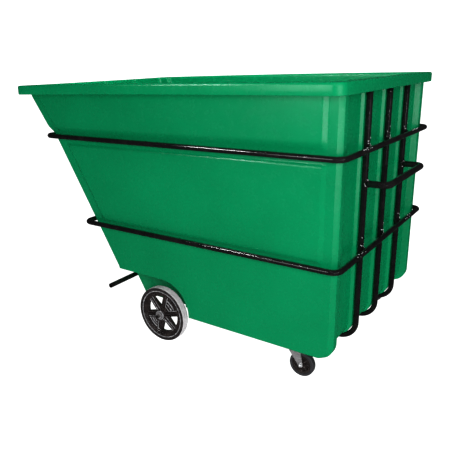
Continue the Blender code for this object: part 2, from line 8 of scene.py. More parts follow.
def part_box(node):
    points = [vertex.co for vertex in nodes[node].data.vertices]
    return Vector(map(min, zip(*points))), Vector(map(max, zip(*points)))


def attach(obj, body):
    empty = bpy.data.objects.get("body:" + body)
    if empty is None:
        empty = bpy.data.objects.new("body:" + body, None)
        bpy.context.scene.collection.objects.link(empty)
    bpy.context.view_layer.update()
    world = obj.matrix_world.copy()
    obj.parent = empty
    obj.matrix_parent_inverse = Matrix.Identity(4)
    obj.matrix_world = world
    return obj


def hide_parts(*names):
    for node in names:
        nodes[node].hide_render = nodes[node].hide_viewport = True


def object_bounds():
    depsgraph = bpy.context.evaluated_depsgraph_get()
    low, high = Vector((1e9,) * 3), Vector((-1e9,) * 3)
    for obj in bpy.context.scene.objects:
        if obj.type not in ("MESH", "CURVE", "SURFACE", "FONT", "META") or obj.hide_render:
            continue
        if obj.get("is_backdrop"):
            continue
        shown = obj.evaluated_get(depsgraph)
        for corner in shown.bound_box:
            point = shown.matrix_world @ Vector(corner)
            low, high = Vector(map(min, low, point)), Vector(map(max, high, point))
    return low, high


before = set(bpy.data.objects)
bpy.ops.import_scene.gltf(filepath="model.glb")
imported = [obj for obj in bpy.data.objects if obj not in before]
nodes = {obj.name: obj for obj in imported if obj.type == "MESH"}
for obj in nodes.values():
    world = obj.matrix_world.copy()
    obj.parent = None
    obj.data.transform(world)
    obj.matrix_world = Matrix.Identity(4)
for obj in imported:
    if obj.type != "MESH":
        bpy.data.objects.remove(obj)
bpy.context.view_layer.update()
scene = bpy.context.scene

# ------------------------------------------------------------------ sizes, measured from the axle line (m)
RIM_XB, RIM_XF = 1.000, -0.971
RIM_HW = 0.650
RIM_Z0, RIM_SLOPE = 1.3612, 0.0218
RIM_FACE = 0.050
RIM_R = 0.045
WALL = 0.009
POST_HW = 0.575
POST_XB = 0.974
RIDGE_X = 0.9545
PANEL_X = 0.9405
RIDGE_Y = 0.272
TIER_MID, TIER_TOP = 0.008, 0.016
TUB_Z, TUB_Z_FRONT = 0.157, 0.175
NOSE_X0, NOSE_Z0, NOSE_K = -0.329, 0.346, 0.5865
BACK_R = 0.077
WELL_Z, WELL_Y = 0.342, 0.470
WELL_CX, WELL_CZ, WELL_R = -0.008, 0.170, 0.172
PIPE_R = 0.01335
GRIP_R = 0.0159
GAP = 0.0003
TUBE_X = RIDGE_X + PIPE_R + 0.0014
TUBE_Z = TUB_Z - PIPE_R - 0.0014
RING_XB = TUBE_X + 2 * PIPE_R + GAP
RING1 = dict(xf=-0.787, hw=0.608, z0=1.0757, k=0.0094)
RING2 = dict(xf=-0.530, hw=0.606, z0=0.6006, k=0.0060)
RING_BEND = 0.042
HANDLE_X, HANDLE_Z = 1.076, 0.925
BAR_X, BAR_Z, BAR_L = -0.330, 0.260, 1.29
AXLE_R, AXLE_Z = 0.009525, 0.1524
AXLE_TUBE_R, AXLE_TUBE_IR = 0.0167, 0.0106
WHEEL_R, WHEEL_Y = 0.1524, 0.582
CAST_X, CAST_Y = 0.763, 0.497
TRAIL, CAST_R = 0.034, 0.0635
MP_TOP = TUB_Z - 0.0004
MP_BOT = MP_TOP - 0.006
CP_TOP = MP_BOT - GAP
CP_BOT = CP_TOP - 0.003
# the frame's origin is midway along the truck, behind the axle line
SHIFT = Matrix.Translation((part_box("axle_tube")[0].x + AXLE_TUBE_R, 0.0, 0.0))
MX = SHIFT.translation.x


# ------------------------------------------------------------------ node helpers
class Nodes:
    """Short hand for a material's node tree."""

    def __init__(self, name):
        self.mat = bpy.data.materials.new(name)
        self.mat.use_nodes = True
        self.t = self.mat.node_tree
        self.b = self.t.nodes["Principled BSDF"]
        self.coord = self.t.nodes.new("ShaderNodeTexCoord").outputs["Object"]

    def link(self, a, b):
        self.t.links.new(a, b)
        return b

    def noise(self, scale, detail=3.0, rough=0.5, stretch=None, distortion=0.0):
        n = self.t.nodes.new("ShaderNodeTexNoise")
        n.inputs["Scale"].default_value = scale
        n.inputs["Detail"].default_value = detail
        n.inputs["Roughness"].default_value = rough
        n.inputs["Distortion"].default_value = distortion
        src = self.coord
        if stretch:
            m = self.t.nodes.new("ShaderNodeMapping")
            m.inputs["Scale"].default_value = stretch
            self.link(src, m.inputs["Vector"])
            src = m.outputs["Vector"]
        self.link(src, n.inputs["Vector"])
        return n.outputs["Fac"]

    def voronoi(self, scale, feature="F1"):
        n = self.t.nodes.new("ShaderNodeTexVoronoi")
        n.feature = feature
        n.inputs["Scale"].default_value = scale
        self.link(self.coord, n.inputs["Vector"])
        return n.outputs["Distance"]

    def ramp(self, src, stops):
        n = self.t.nodes.new("ShaderNodeValToRGB")
        el = n.color_ramp.elements
        el[0].position, el[0].color = stops[0][0], self.col(stops[0][1])
        el[1].position, el[1].color = stops[-1][0], self.col(stops[-1][1])
        for p, c in stops[1:-1]:
            e = el.new(p)
            e.color = self.col(c)
        self.link(src, n.inputs["Fac"])
        return n.outputs["Color"]

    @staticmethod
    def col(c):
        return (c, c, c, 1.0) if isinstance(c, (int, float)) else (*c, 1.0)

    def mix(self, fac, a, b, mode="MIX"):
        n = self.t.nodes.new("ShaderNodeMix")
        n.data_type = "RGBA"
        n.blend_type = mode
        n.clamp_result = True
        if hasattr(fac, "links"):
            self.link(fac, n.inputs["Factor"])
        else:
            n.inputs["Factor"].default_value = fac
        for sock, v in ((n.inputs[6], a), (n.inputs[7], b)):
            if hasattr(v, "links"):
                self.link(v, sock)
            else:
                sock.default_value = self.col(v)
        return n.outputs[2]

    def math(self, op, a, b=0.5, c=None):
        n = self.t.nodes.new("ShaderNodeMath")
        n.operation = op
        for sock, v in zip(n.inputs, (a, b) if c is None else (a, b, c)):
            if hasattr(v, "links"):
                self.link(v, sock)
            else:
                sock.default_value = v
        return n.outputs[0]

    def span(self, src, lo, hi, out_lo=0.0, out_hi=1.0):
        n = self.t.nodes.new("ShaderNodeMapRange")
        n.clamp = True
        for k, v in (("From Min", lo), ("From Max", hi), ("To Min", out_lo), ("To Max", out_hi)):
            n.inputs[k].default_value = v
        self.link(src, n.inputs["Value"])
        return n.outputs["Result"]

    def xyz(self, src=None):
        n = self.t.nodes.new("ShaderNodeSeparateXYZ")
        self.link(self.coord if src is None else src, n.inputs[0])
        return n.outputs

    def normal(self):
        n = self.t.nodes.new("ShaderNodeNewGeometry")
        return self.xyz(n.outputs["Normal"])

    def edges(self, lo, hi):
        """1 on outward edges, 0 elsewhere."""
        n = self.t.nodes.new("ShaderNodeNewGeometry")
        return self.span(n.outputs["Pointiness"], lo, hi)

    def bumps(self, layers):
        """layers: (height, strength, distance)"""
        last = None
        for h, s, d in layers:
            n = self.t.nodes.new("ShaderNodeBump")
            n.inputs["Strength"].default_value = s
            n.inputs["Distance"].default_value = d
            self.link(h, n.inputs["Height"])
            if last is not None:
                self.link(last, n.inputs["Normal"])
            last = n.outputs["Normal"]
        self.link(last, self.b.inputs["Normal"])

    def set(self, **kw):
        for k, v in kw.items():
            sock = self.b.inputs[k.replace("_", " ")]
            if hasattr(v, "links"):
                self.link(v, sock)
            elif isinstance(v, tuple):
                sock.default_value = (*v, 1.0) if len(v) == 3 else v
            else:
                sock.default_value = v
        return self


# ------------------------------------------------------------------ materials
def green_plastic():
    m = Nodes("polyethylene_green")
    p = m.xyz()
    base = m.ramp(m.noise(2.4, 3, 0.55), [(0.30, (0.0, 0.212, 0.088)), (0.50, (0.0, 0.234, 0.098)), (0.72, (0.0, 0.256, 0.108))])
    # fine powder mottling of rotomoulded plastic
    mott = m.ramp(m.noise(210, 2, 0.6), [(0.35, (0.0, 0.205, 0.084)), (0.65, (0.0, 0.262, 0.112))])
    col = m.mix(0.35, base, mott)
    # handling scuffs, paler and duller, denser low down and along edges
    scratch = m.math("GREATER_THAN", m.noise(5.0, 8, 0.78, (1.0, 1.0, 9.0), 0.6), 0.69)
    low = m.span(p[2], 0.15, 0.55, 0.55, 0.10)
    col = m.mix(m.math("MULTIPLY", scratch, low), col, (0.03, 0.30, 0.14))
    edge = m.math("MULTIPLY", m.edges(0.515, 0.56), m.span(m.noise(14, 4, 0.6), 0.42, 0.62))
    col = m.mix(m.math("MULTIPLY", edge, 0.16), col, (0.03, 0.34, 0.17))
    rough = m.math("ADD", m.span(m.noise(26, 5, 0.6), 0.3, 0.7, 0.22, 0.30), m.math("MULTIPLY", edge, 0.06))
    m.set(Base_Color=col, Roughness=rough, Specular_IOR_Level=0.38)
    m.bumps([(m.noise(4.5, 1, 0.4), 0.08, 0.004), (m.noise(320, 2, 0.5), 0.08, 0.0005), (m.noise(900, 2, 0.6), 0.05, 0.0003)])
    return m.mat


def black_paint():
    m = Nodes("powder_coat_black")
    dust = m.span(m.noise(14, 6, 0.65), 0.48, 0.75)
    col = m.mix(m.math("MULTIPLY", dust, 0.45), (0.0135, 0.0125, 0.0130), (0.036, 0.032, 0.032))
    wear_and_glint = m.math("GREATER_THAN", m.noise(42, 7, 0.75, (1, 1, 1), 0.3), 0.735)
    col = m.mix(m.math("MULTIPLY", wear_and_glint, 0.8), col, (0.10, 0.095, 0.09))
    rough = m.math("ADD", m.span(m.noise(30, 4, 0.6), 0.3, 0.7, 0.07, 0.17), m.math("MULTIPLY", wear_and_glint, 0.25))
    m.set(Base_Color=col, Roughness=rough, Specular_IOR_Level=0.42, Coat_Weight=0.15, Coat_Roughness=0.05)
    m.bumps([(m.noise(26, 2, 0.5), 0.25, 0.002), (m.noise(160, 2, 0.5), 0.25, 0.0008), (m.noise(620, 2, 0.6), 0.10, 0.0003)])
    return m.mat


def weld_paint():
    m = Nodes("powder_coat_weld_painted_glints")
    col = m.mix(m.span(m.noise(60, 4, 0.6), 0.4, 0.7), (0.010, 0.009, 0.009), (0.035, 0.031, 0.030))
    # near-white flecks on the beads are painted glints, not a colour the weld has
    painted_glint_fleck = m.math("MULTIPLY", m.span(m.noise(115, 2, 0.5), 0.56, 0.60), m.span(m.noise(31, 2, 0.5), 0.47, 0.52))
    col = m.mix(painted_glint_fleck, col, (0.72, 0.71, 0.72))
    m.set(Base_Color=col, Roughness=m.span(m.noise(120, 3, 0.6), 0.3, 0.7, 0.10, 0.24), Specular_IOR_Level=0.7, Coat_Weight=0.5, Coat_Roughness=0.06)
    m.bumps([(m.noise(260, 3, 0.6), 0.35, 0.001)])
    return m.mat


def core_plastic():
    m = Nodes("moulded_wheel_core")
    col = m.ramp(m.noise(24, 5, 0.65), [(0.32, (0.020, 0.017, 0.017)), (0.55, (0.038, 0.032, 0.031)), (0.75, (0.074, 0.060, 0.054))])
    # paler edges by pointiness: painted highlight on the moulding's edges, partly edge wear
    edge = m.math("MULTIPLY", m.edges(0.52, 0.60), m.span(m.noise(70, 4, 0.7), 0.40, 0.60))
    col = m.mix(m.math("MULTIPLY", edge, 0.5), col, (0.16, 0.14, 0.14))
    m.set(Base_Color=col, Roughness=m.span(m.noise(55, 4, 0.6), 0.3, 0.7, 0.16, 0.32), Specular_IOR_Level=0.60, Coat_Weight=0.2, Coat_Roughness=0.08)
    m.bumps([(m.noise(420, 3, 0.6), 0.18, 0.0005)])
    return m.mat


def tread_rubber():
    m = Nodes("grey_tread_rubber")
    col = m.ramp(m.noise(38, 6, 0.7), [(0.28, (0.36, 0.33, 0.35)), (0.50, (0.52, 0.49, 0.51)), (0.75, (0.62, 0.59, 0.61))])
    grit = m.math("GREATER_THAN", m.noise(230, 4, 0.7), 0.66)
    col = m.mix(m.math("MULTIPLY", grit, 0.6), col, (0.16, 0.15, 0.15))
    m.set(Base_Color=col, Roughness=m.span(m.noise(80, 3, 0.6), 0.3, 0.7, 0.55, 0.75), Specular_IOR_Level=0.35)
    m.bumps([(m.noise(190, 4, 0.6), 0.3, 0.0012), (m.noise(700, 2, 0.6), 0.15, 0.0004)])
    return m.mat


def wall_rubber():
    m = Nodes("black_sidewall_rubber")
    col = m.ramp(m.noise(30, 5, 0.65), [(0.30, (0.018, 0.017, 0.018)), (0.55, (0.036, 0.031, 0.031)), (0.78, (0.068, 0.059, 0.059))])
    m.set(Base_Color=col, Roughness=m.span(m.noise(60, 4, 0.6), 0.3, 0.7, 0.34, 0.52), Specular_IOR_Level=0.5)
    m.bumps([(m.noise(300, 3, 0.6), 0.2, 0.0006)])
    return m.mat


def caster_rubber():
    m = Nodes("caster_rubber")
    col = m.ramp(m.noise(46, 5, 0.65), [(0.30, (0.030, 0.030, 0.034)), (0.55, (0.052, 0.051, 0.057)), (0.78, (0.090, 0.088, 0.094))])
    m.set(Base_Color=col, Roughness=m.span(m.noise(90, 4, 0.6), 0.3, 0.7, 0.42, 0.62), Specular_IOR_Level=0.5)
    m.bumps([(m.noise(260, 3, 0.6), 0.25, 0.0007)])
    return m.mat


def metal(name, dark, light, rough, grain=(1, 1, 1), metallic=1.0):
    m = Nodes(name)
    col = m.ramp(m.noise(70, 5, 0.65, grain), [(0.30, dark), (0.70, light)])
    spangle = m.voronoi(180)
    col = m.mix(m.math("MULTIPLY", m.span(spangle, 0.1, 0.7), 0.25), col, dark)
    m.set(Base_Color=col, Metallic=metallic, Roughness=m.span(m.noise(120, 4, 0.6, grain), 0.3, 0.7, rough - 0.07, rough + 0.09))
    m.bumps([(m.noise(380, 3, 0.6, grain), 0.12, 0.0004)])
    return m.mat


def nylon():
    m = Nodes("nylon_bush")
    col = m.ramp(m.noise(90, 4, 0.6), [(0.3, (0.52, 0.50, 0.45)), (0.7, (0.68, 0.66, 0.60))])
    m.set(Base_Color=col, Roughness=m.span(m.noise(140, 3, 0.6), 0.3, 0.7, 0.40, 0.55), Subsurface_Weight=0.1)
    m.bumps([(m.noise(500, 2, 0.6), 0.1, 0.0003)])
    return m.mat


GREEN = green_plastic()
BLACK = black_paint()
WELD = weld_paint()
CORE = core_plastic()
TREAD = tread_rubber()
SIDEWALL = wall_rubber()
CASTER_RUBBER = caster_rubber()
ZINC = metal("zinc_plate", (0.34, 0.33, 0.34), (0.60, 0.59, 0.60), 0.30, (1, 1, 1), 0.55)
# pale grey finish on wheel rings and rib tops: painted highlight shown as scuffing
RIB_PAINTED_HIGHLIGHT = metal("rib_painted_highlight", (0.09, 0.09, 0.095), (0.72, 0.72, 0.74), 0.28, (1, 1, 1), 0.25)
STEEL = metal("bright_steel", (0.36, 0.34, 0.33), (0.60, 0.58, 0.57), 0.27, (1, 0.15, 1))
NYLON = nylon()
BRIGHT = metal("bright_zinc", (0.55, 0.55, 0.57), (0.88, 0.88, 0.90), 0.25, (1, 1, 1), 0.45)
# near-white finish for the drops on the pipes: painted glints
GLINT_SPATTER = metal("painted_glint_metal", (0.62, 0.62, 0.64), (0.90, 0.90, 0.92), 0.24, (1, 1, 1), 0.35)


# ------------------------------------------------------------------ mesh helpers
def piece(name, me, mats, body, stands_for=(), smooth=32, pivot=True):
    """Links a mesh built from the axle line, moves it into the frame and rides it on a body."""
    me.transform(SHIFT)
    ob = bpy.data.objects.new(name, me)
    scene.collection.objects.link(ob)
    for m in mats if isinstance(mats, (list, tuple)) else [mats]:
        me.materials.append(m)
    if smooth:
        me.shade_smooth()
        me.set_sharp_from_angle(angle=math.radians(smooth))
    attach(ob, body)
    if stands_for:
        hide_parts(*([stands_for] if isinstance(stands_for, str) else stands_for))
    return ob


def bevel(ob, width, segments=2, angle=35):
    m = ob.modifiers.new("edge", "BEVEL")
    m.width = width
    m.segments = segments
    m.limit_method = "ANGLE"
    m.angle_limit = math.radians(angle)
    m.harden_normals = True
    return m


def apply_all(ob):
    """Applies every modifier of a scratch object and returns its mesh."""
    bpy.context.view_layer.update()
    dg = bpy.context.evaluated_depsgraph_get()
    me = bpy.data.meshes.new_from_object(ob.evaluated_get(dg), depsgraph=dg)
    old = ob.data
    bpy.data.objects.remove(ob, do_unlink=True)
    if old.users == 0:
        bpy.data.meshes.remove(old)
    return me


def temp(name, me):
    ob = bpy.data.objects.new(name, me)
    scene.collection.objects.link(ob)
    ob.hide_render = True
    return ob


def solve(base, steps):
    """Booleans on scratch objects: steps are (operation, mesh)."""
    ob = temp("scratch", base)
    tools = []
    for i, (op, me) in enumerate(steps):
        t = temp("scratch_%d" % i, me)
        tools.append(t)
        m = ob.modifiers.new("b%d" % i, "BOOLEAN")
        m.operation = op
        m.solver = "EXACT"
        m.object = t
    out = apply_all(ob)
    for t in tools:
        me = t.data
        bpy.data.objects.remove(t, do_unlink=True)
        bpy.data.meshes.remove(me)
    return out


def grid(rings, closed_u=True, cap=True, closed_v=False):
    """Mesh through rings of equal length."""
    bm = bmesh.new()
    loops = [[bm.verts.new(p) for p in r] for r in rings]
    n = len(loops[0])
    pairs = list(zip(loops, loops[1:]))
    if closed_v:
        pairs.append((loops[-1], loops[0]))
    for a, b in pairs:
        for i in range(n if closed_u else n - 1):
            j = (i + 1) % n
            bm.faces.new((a[i], a[j], b[j], b[i]))
    if cap and not closed_v:
        bm.faces.new(loops[0][::-1])
        bm.faces.new(loops[-1])
    bmesh.ops.recalc_face_normals(bm, faces=bm.faces)
    me = bpy.data.meshes.new("grid")
    bm.to_mesh(me)
    bm.free()
    return me


def joined(parts):
    bm = bmesh.new()
    for me in parts:
        bm.from_mesh(me)
        bpy.data.meshes.remove(me)
    me = bpy.data.meshes.new("joined")
    bm.to_mesh(me)
    bm.free()
    return me


def turned(profile, n, axis="Y", at=(0, 0, 0), flip=1, closed=True):
    """Closed profile (radius, station) turned about an axis; closed=False: its ends lie on the axis."""
    bm = bmesh.new()

    def pt(r, s, t):
        if axis == "Y":
            return (at[0] + r * math.cos(t), at[1] + flip * s, at[2] + r * math.sin(t))
        return (at[0] + r * math.cos(t), at[1] + r * math.sin(t), at[2] + s)

    cols = [[bm.verts.new(pt(r, s, 2 * math.pi * k / n)) for r, s in profile] for k in range(n)]
    m = len(profile)
    for k in range(n):
        a, b = cols[k], cols[(k + 1) % n]
        for i in range(m if closed else m - 1):
            j = (i + 1) % m
            bm.faces.new((a[i], a[j], b[j], b[i]))
    if not closed:
        bm.faces.new([c[0] for c in cols])
        bm.faces.new([c[-1] for c in cols])
    bmesh.ops.recalc_face_normals(bm, faces=bm.faces)
    me = bpy.data.meshes.new("turned")
    bm.to_mesh(me)
    bm.free()
    return me


def soft_profile(points, r, seg=3, closed=True):
    """Rounds the corners of a 2-D profile. A point may carry its own radius as a third number."""
    out = []
    n = len(points)
    for i, p in enumerate(points):
        rr = p[2] if len(p) > 2 else r
        p = Vector(p[:2])
        if not closed and i in (0, n - 1):
            out.append(tuple(p))
            continue
        a, b = Vector(points[i - 1][:2]), Vector(points[(i + 1) % n][:2])
        la, lb = (a - p).length, (b - p).length
        u, v = (a - p).normalized(), (b - p).normalized()
        ang = u.angle(v)
        if rr <= 0 or ang > math.radians(176):
            out.append(tuple(p))
            continue
        d = min(rr / math.tan(ang / 2), 0.45 * min(la, lb))
        q = d * math.tan(ang / 2)
        c = p + (u + v).normalized() * (q / math.sin(ang / 2))
        s = p + u * d - c
        e = p + v * d - c
        turn = math.atan2(s.x * e.y - s.y * e.x, s.dot(e))
        for k in range(seg + 1):
            t = turn * k / seg
            out.append((c.x + s.x * math.cos(t) - s.y * math.sin(t), c.y + s.x * math.sin(t) + s.y * math.cos(t)))
    return out


def prism(poly, lo, hi, axis="Y"):
    bm = bmesh.new()

    def pt(p, s):
        return (p[0], s, p[1]) if axis == "Y" else (p[0], p[1], s)

    a = [bm.verts.new(pt(p, lo)) for p in poly]
    b = [bm.verts.new(pt(p, hi)) for p in poly]
    n = len(poly)
    for i in range(n):
        j = (i + 1) % n
        bm.faces.new((a[i], a[j], b[j], b[i]))
    bm.faces.new(a[::-1])
    bm.faces.new(b)
    bmesh.ops.recalc_face_normals(bm, faces=bm.faces)
    me = bpy.data.meshes.new("prism")
    bm.to_mesh(me)
    bm.free()
    return me


def filleted(points, r, seg, closed=False):
    pts = [Vector(p) for p in points]
    out = []
    n = len(pts)
    for i, p in enumerate(pts):
        if not closed and i in (0, n - 1):
            out.append(p)
            continue
        a, b = pts[i - 1], pts[(i + 1) % n]
        u, v = (a - p).normalized(), (b - p).normalized()
        ang = u.angle(v)
        d = r / math.tan(ang / 2)
        c = p + (u + v).normalized() * (r / math.sin(ang / 2))
        s, e = p + u * d - c, p + v * d - c
        turn = math.pi - ang
        ax = s.cross(e).normalized()
        for k in range(seg + 1):
            out.append(c + Matrix.Rotation(turn * k / seg, 3, ax) @ s)
    return out


def sweep(pts, radius, n=28, closed=False, up=None, bore=0.0, squash=None):
    """Round tube along a path; radius may be a function of the path's share. bore leaves it hollow."""
    pts = [Vector(p) for p in pts]
    m = len(pts)
    tang = []
    for i in range(m):
        if closed:
            t = (pts[(i + 1) % m] - pts[i - 1])
        else:
            t = pts[min(i + 1, m - 1)] - pts[max(i - 1, 0)]
        tang.append(t.normalized())
    ref = Vector(up) if up else (Vector((0, 0, 1)) if abs(tang[0].z) < 0.9 else Vector((0, 1, 0)))
    nrm = (ref - tang[0] * ref.dot(tang[0])).normalized()
    frames = []
    for i in range(m):
        nrm = (nrm - tang[i] * nrm.dot(tang[i])).normalized()
        frames.append((nrm, tang[i].cross(nrm)))

    def ring(i, r):
        a, b = frames[i]
        return [pts[i] + a * (r * math.cos(2 * math.pi * k / n)) + b * (r * math.sin(2 * math.pi * k / n)) for k in range(n)]

    rad = radius if callable(radius) else (lambda s: radius)
    rings = [ring(i, rad(i / max(1, m - 1))) for i in range(m)]
    if closed:
        return grid(rings, closed_v=True)
    if bore:
        inner = [ring(i, bore) for i in range(m)]
        c = 0.0007
        t0, t1 = tang[0], tang[-1]
        rings[0] = [p + t0 * c for p in rings[0]]
        rings[-1] = [p - t1 * c for p in rings[-1]]
        rings.insert(0, ring(0, rad(0) - c))
        rings.append(ring(m - 1, rad(1) - c))
        return grid(rings + inner[::-1], closed_v=True)
    c = 0.0010
    rings[0] = [p + tang[0] * c for p in rings[0]]
    rings[-1] = [p - tang[-1] * c for p in rings[-1]]
    rings.insert(0, ring(0, rad(0) - c))
    rings.append(ring(m - 1, rad(1) - c))
    return grid(rings)


def even(pts, step, closed=False):
    """Adds points along the straight runs of a path."""
    out = []
    m = len(pts)
    for i in range(m if closed else m - 1):
        a, b = Vector(pts[i]), Vector(pts[(i + 1) % m])
        k = max(1, int((b - a).length / step))
        out += [a.lerp(b, j / k) for j in range(k)]
    if not closed:
        out.append(Vector(pts[-1]))
    return out


# ------------------------------------------------------------------ tub
def along(steps, z):
    for (z0, a0), (z1, a1) in zip(steps, steps[1:]):
        if z <= z1:
            return a0 + (z - z0) / (z1 - z0) * (a1 - a0)
    return steps[-1][1]


def low_nose(h):
    return NOSE_X0 - NOSE_K * (h - NOSE_Z0)


NOSE_STEPS = [(1.095, low_nose(1.095)), (1.129, low_nose(1.129) - 0.030), (1.300, -0.940), (1.352, -0.951), (1.402, -0.954)]
TIERS = [(-1.0, 0.0), (0.612, 0.0), (0.630, TIER_MID), (1.030, TIER_MID), (1.040, 0.0), (1.095, 0.0), (1.129, TIER_TOP), (1.402, TIER_TOP + 0.002)]


def blurred(f, z, half, n=9):
    return sum(f(z + half * (2 * k / (n - 1) - 1)) for k in range(n)) / n


def nose_x(z):
    return blurred(lambda h: low_nose(h) if h <= 1.095 else along(NOSE_STEPS, h), z, 0.009)


def tier(z):
    return blurred(lambda h: along(TIERS, h), z, 0.005)


ARC = 9
LONG = 14


def outline(z, inset=0.0, back=0.0, low=0.0):
    """Whole plan loop at a height as (x, y, kind, k) with its corners rounded."""
    d = tier(z)
    e = inset
    xr, xp, xq = RIDGE_X - e - back, PANEL_X - e - back, POST_XB - e - back
    w = POST_HW - e - low
    xn = nose_x(z) + e * 1.16
    s = 0.55 * e
    Y, P = RIDGE_Y, WELL_Y + 0.035
    R = 0.0045
    half = [(xr, 0.0, "b", 0), (xr, -0.020 + s, "b", R), (xp, -0.031 + s, "b", R), (xp, -(Y - 0.031) - s, "b", R), (xr, -(Y - 0.020) - s, "b", R),
            (xr, -(Y + 0.020) + s, "b", R), (xp, -(Y + 0.031) + s, "b", R), (xp, -P - s, "b", 0.010), (xq, -P - 0.012 - s, "b", 0.008)]
    # the post's corner is a flat chamfer with softened edges
    r = 0.019
    for k, (f, lift) in enumerate(((-0.10, 0.0), (-0.03, 0.1), (0.04, 0.6), (0.12, 1.0), (0.37, 1.0), (0.63, 1.0), (0.88, 1.0), (0.96, 0.6), (1.03, 0.1), (1.10, 0.0))):
        g = min(max(f, 0.0), 1.0)
        px, py = xq - r * g, -(w - r) - r * g
        if f < 0:
            py = -(w - r) - r * f
        if f > 1:
            px = xq - r * f
        px -= 0.0007 * (1 - lift) * (0.0 < f < 1.0)
        py += 0.0007 * (1 - lift) * (0.0 < f < 1.0)
        half.append((px, py, "c", k))
    x1, b = min(0.914 - e * 0.5, xq - r - 0.012), 0.020
    xf = xn + 0.075
    half += [(x1, -w, "s", 0.010), (x1 - b, -w - d, "s", 0.012)]
    for k in range(1, LONG):
        f = k / LONG
        half.append(((x1 - b) * (1 - f) + (xf + b) * f, -w - d, "s", 0))
    half += [(xf + b, -w - d, "s", 0.012), (xf, -w, "s", 0.010)]
    rn = 0.022
    for k in range(ARC + 1):
        t = math.pi / 2 * k / ARC
        half.append((xn + rn - rn * math.sin(t), -(w - rn) - rn * math.cos(t), "n", k))
    xm = xn + 0.014
    half += [(xn, -P - 0.012 - s, "f", R), (xm, -P - s, "f", R), (xm, -(Y + 0.031) + s, "f", R), (xn, -(Y + 0.020) + s, "f", R),
             (xn, -(Y - 0.020) - s, "f", R), (xm, -(Y - 0.031) - s, "f", R), (xm, -0.031 + s, "f", R), (xn, -0.020 + s, "f", R), (xn, 0.0, "f", 0)]
    out = []
    n = len(half)
    SEG = 4
    for i, (x, y, kind, r) in enumerate(half):
        if kind in "cn" or r == 0:
            out.append((x, y, kind, r if kind in "cn" else 0))
            continue
        p, a, q = Vector((x, y)), Vector(half[i - 1][:2]), Vector(half[i + 1][:2])
        la, lb = (a - p).length, (q - p).length
        u, v = (a - p) / la, (q - p) / lb
        ang = u.angle(v)
        tan_half = math.tan(max(0.02, (math.pi - ang)) / 2)
        dd = min(r * tan_half if r * tan_half > 0.0006 else 0.0006, 0.45 * min(la, lb))
        s0, s1 = p + u * dd, p + v * dd
        for k in range(SEG + 1):
            f = k / SEG
            m = s0 * ((1 - f) ** 2) + p * (2 * f * (1 - f)) + s1 * (f * f)
            out.append((m.x, m.y, kind, 0))
    full = list(out) + [(x, -y, kind, k) for x, y, kind, k in out[-2:0:-1]]
    return full


TOP_LOOP = outline(1.34)


def rim_loop(inset):
    """Plan loop of the rim, one point for each point of the body's loop."""
    xb, xf, w, r = RIM_XB - inset, RIM_XF + inset, RIM_HW - inset, RIM_R - inset
    out = []
    for x, y, kind, k in TOP_LOOP:
        sgn = -1 if y <= 0 else 1
        if kind == "b":
            out.append((xb, y))
        elif kind == "c":
            t = math.pi / 2 * k / ARC
            out.append((xb - r + r * math.cos(t), sgn * ((w - r) + r * math.sin(t))))
        elif kind == "s":
            out.append((max(min(x, xb - r - 0.0005), xf + r + 0.0005), sgn * w))
        elif kind == "n":
            t = math.pi / 2 * k / ARC
            out.append((xf + r - r * math.sin(t), sgn * ((w - r) + r * math.cos(t))))
        else:
            out.append((xf, y))
    return out


def bowed(x, y):
    """The long sides of the rim stand a few millimetres proud of a straight line."""
    f = (x + 0.10) / 1.05
    return 0.0045 * max(0.0, 1 - f * f) * min(1.0, max(0.0, (abs(y) - 0.45) / 0.12))


def ring3(loop, z0, flat=False, arch=False):
    k = 0.0 if flat else RIM_SLOPE * max(0.0, min(1.0, (z0 - 0.30) / (RIM_Z0 - 0.30)))
    g = max(0.0, min(1.0, (z0 - 1.14) / (RIM_Z0 - RIM_FACE - 1.14))) if not flat else 0.0
    return [(p[0], p[1], z0 + k * p[0] + g * bowed(p[0], p[1])) for p in loop]


def bottom(z_floor, inset):
    rings = [ring3(outline(z_floor, inset, (BACK_R - inset) * 0.80, 0.018), z_floor, True)]
    r = BACK_R - inset
    for a in (78, 70, 62, 54, 47, 40, 32, 24, 16, 8, 0):
        t = math.radians(a)
        z = z_floor + r * (1 - math.sin(t))
        back = r * (1 - math.cos(t))
        low = 0.018 * (1 - math.sqrt(max(0.0, 1 - max(0.0, 1 - (z - z_floor) / 0.018) ** 2)))
        rings.append(ring3(outline(z, inset, back, low), z, True))
    return rings


LEVELS = [0.300, 0.450, 0.604, 0.608, 0.612, 0.616, 0.621, 0.626, 0.630, 0.635, 0.640, 0.760, 0.900, 1.022, 1.026, 1.030, 1.034, 1.038, 1.042, 1.047,
          1.084, 1.090, 1.095, 1.100, 1.106, 1.112, 1.118, 1.124, 1.129, 1.134, 1.140, 1.200, 1.260, 1.292, 1.300, 1.308]
top = RIM_Z0


def quarter(cx, cz, r, a0, a1, n):
    return [(cx + r * math.cos(math.radians(a0 + (a1 - a0) * k / n)), cz + r * math.sin(math.radians(a0 + (a1 - a0) * k / n))) for k in range(n + 1)]


rings = bottom(TUB_Z, 0.0) + [ring3(outline(z), z) for z in LEVELS]
# fillet from the wall out to the underside of the rim, down the inside of the skirt
body_top = outline(top - WALL)
rings += [ring3(body_top, top - WALL - 0.006)]


def between(a, b, f):
    return [(p[0] + (q[0] - p[0]) * f, p[1] + (q[1] - p[1]) * f) for p, q in zip(a, b)]


skirt_in = rim_loop(WALL)
for f, dz in ((0.04, 0.0022), (0.12, 0.0004), (0.22, 0.0)):
    rings.append(ring3(between(body_top, skirt_in, f), top - WALL - dz))
for f, dz in ((0.90, 0.0), (0.97, 0.0010), (1.0, 0.0040)):
    rings.append(ring3(between(body_top, skirt_in, f), top - WALL - dz))
# lower lip of the skirt
c = WALL / 2
for x, z in quarter(0.0, 0.0, 1.0, 180, 360, 6):
    rings.append(ring3(rim_loop(c - c * x), top - RIM_FACE + 0.0035 + 0.0035 * z))
rings.append(ring3(rim_loop(0.0), top - 0.030))
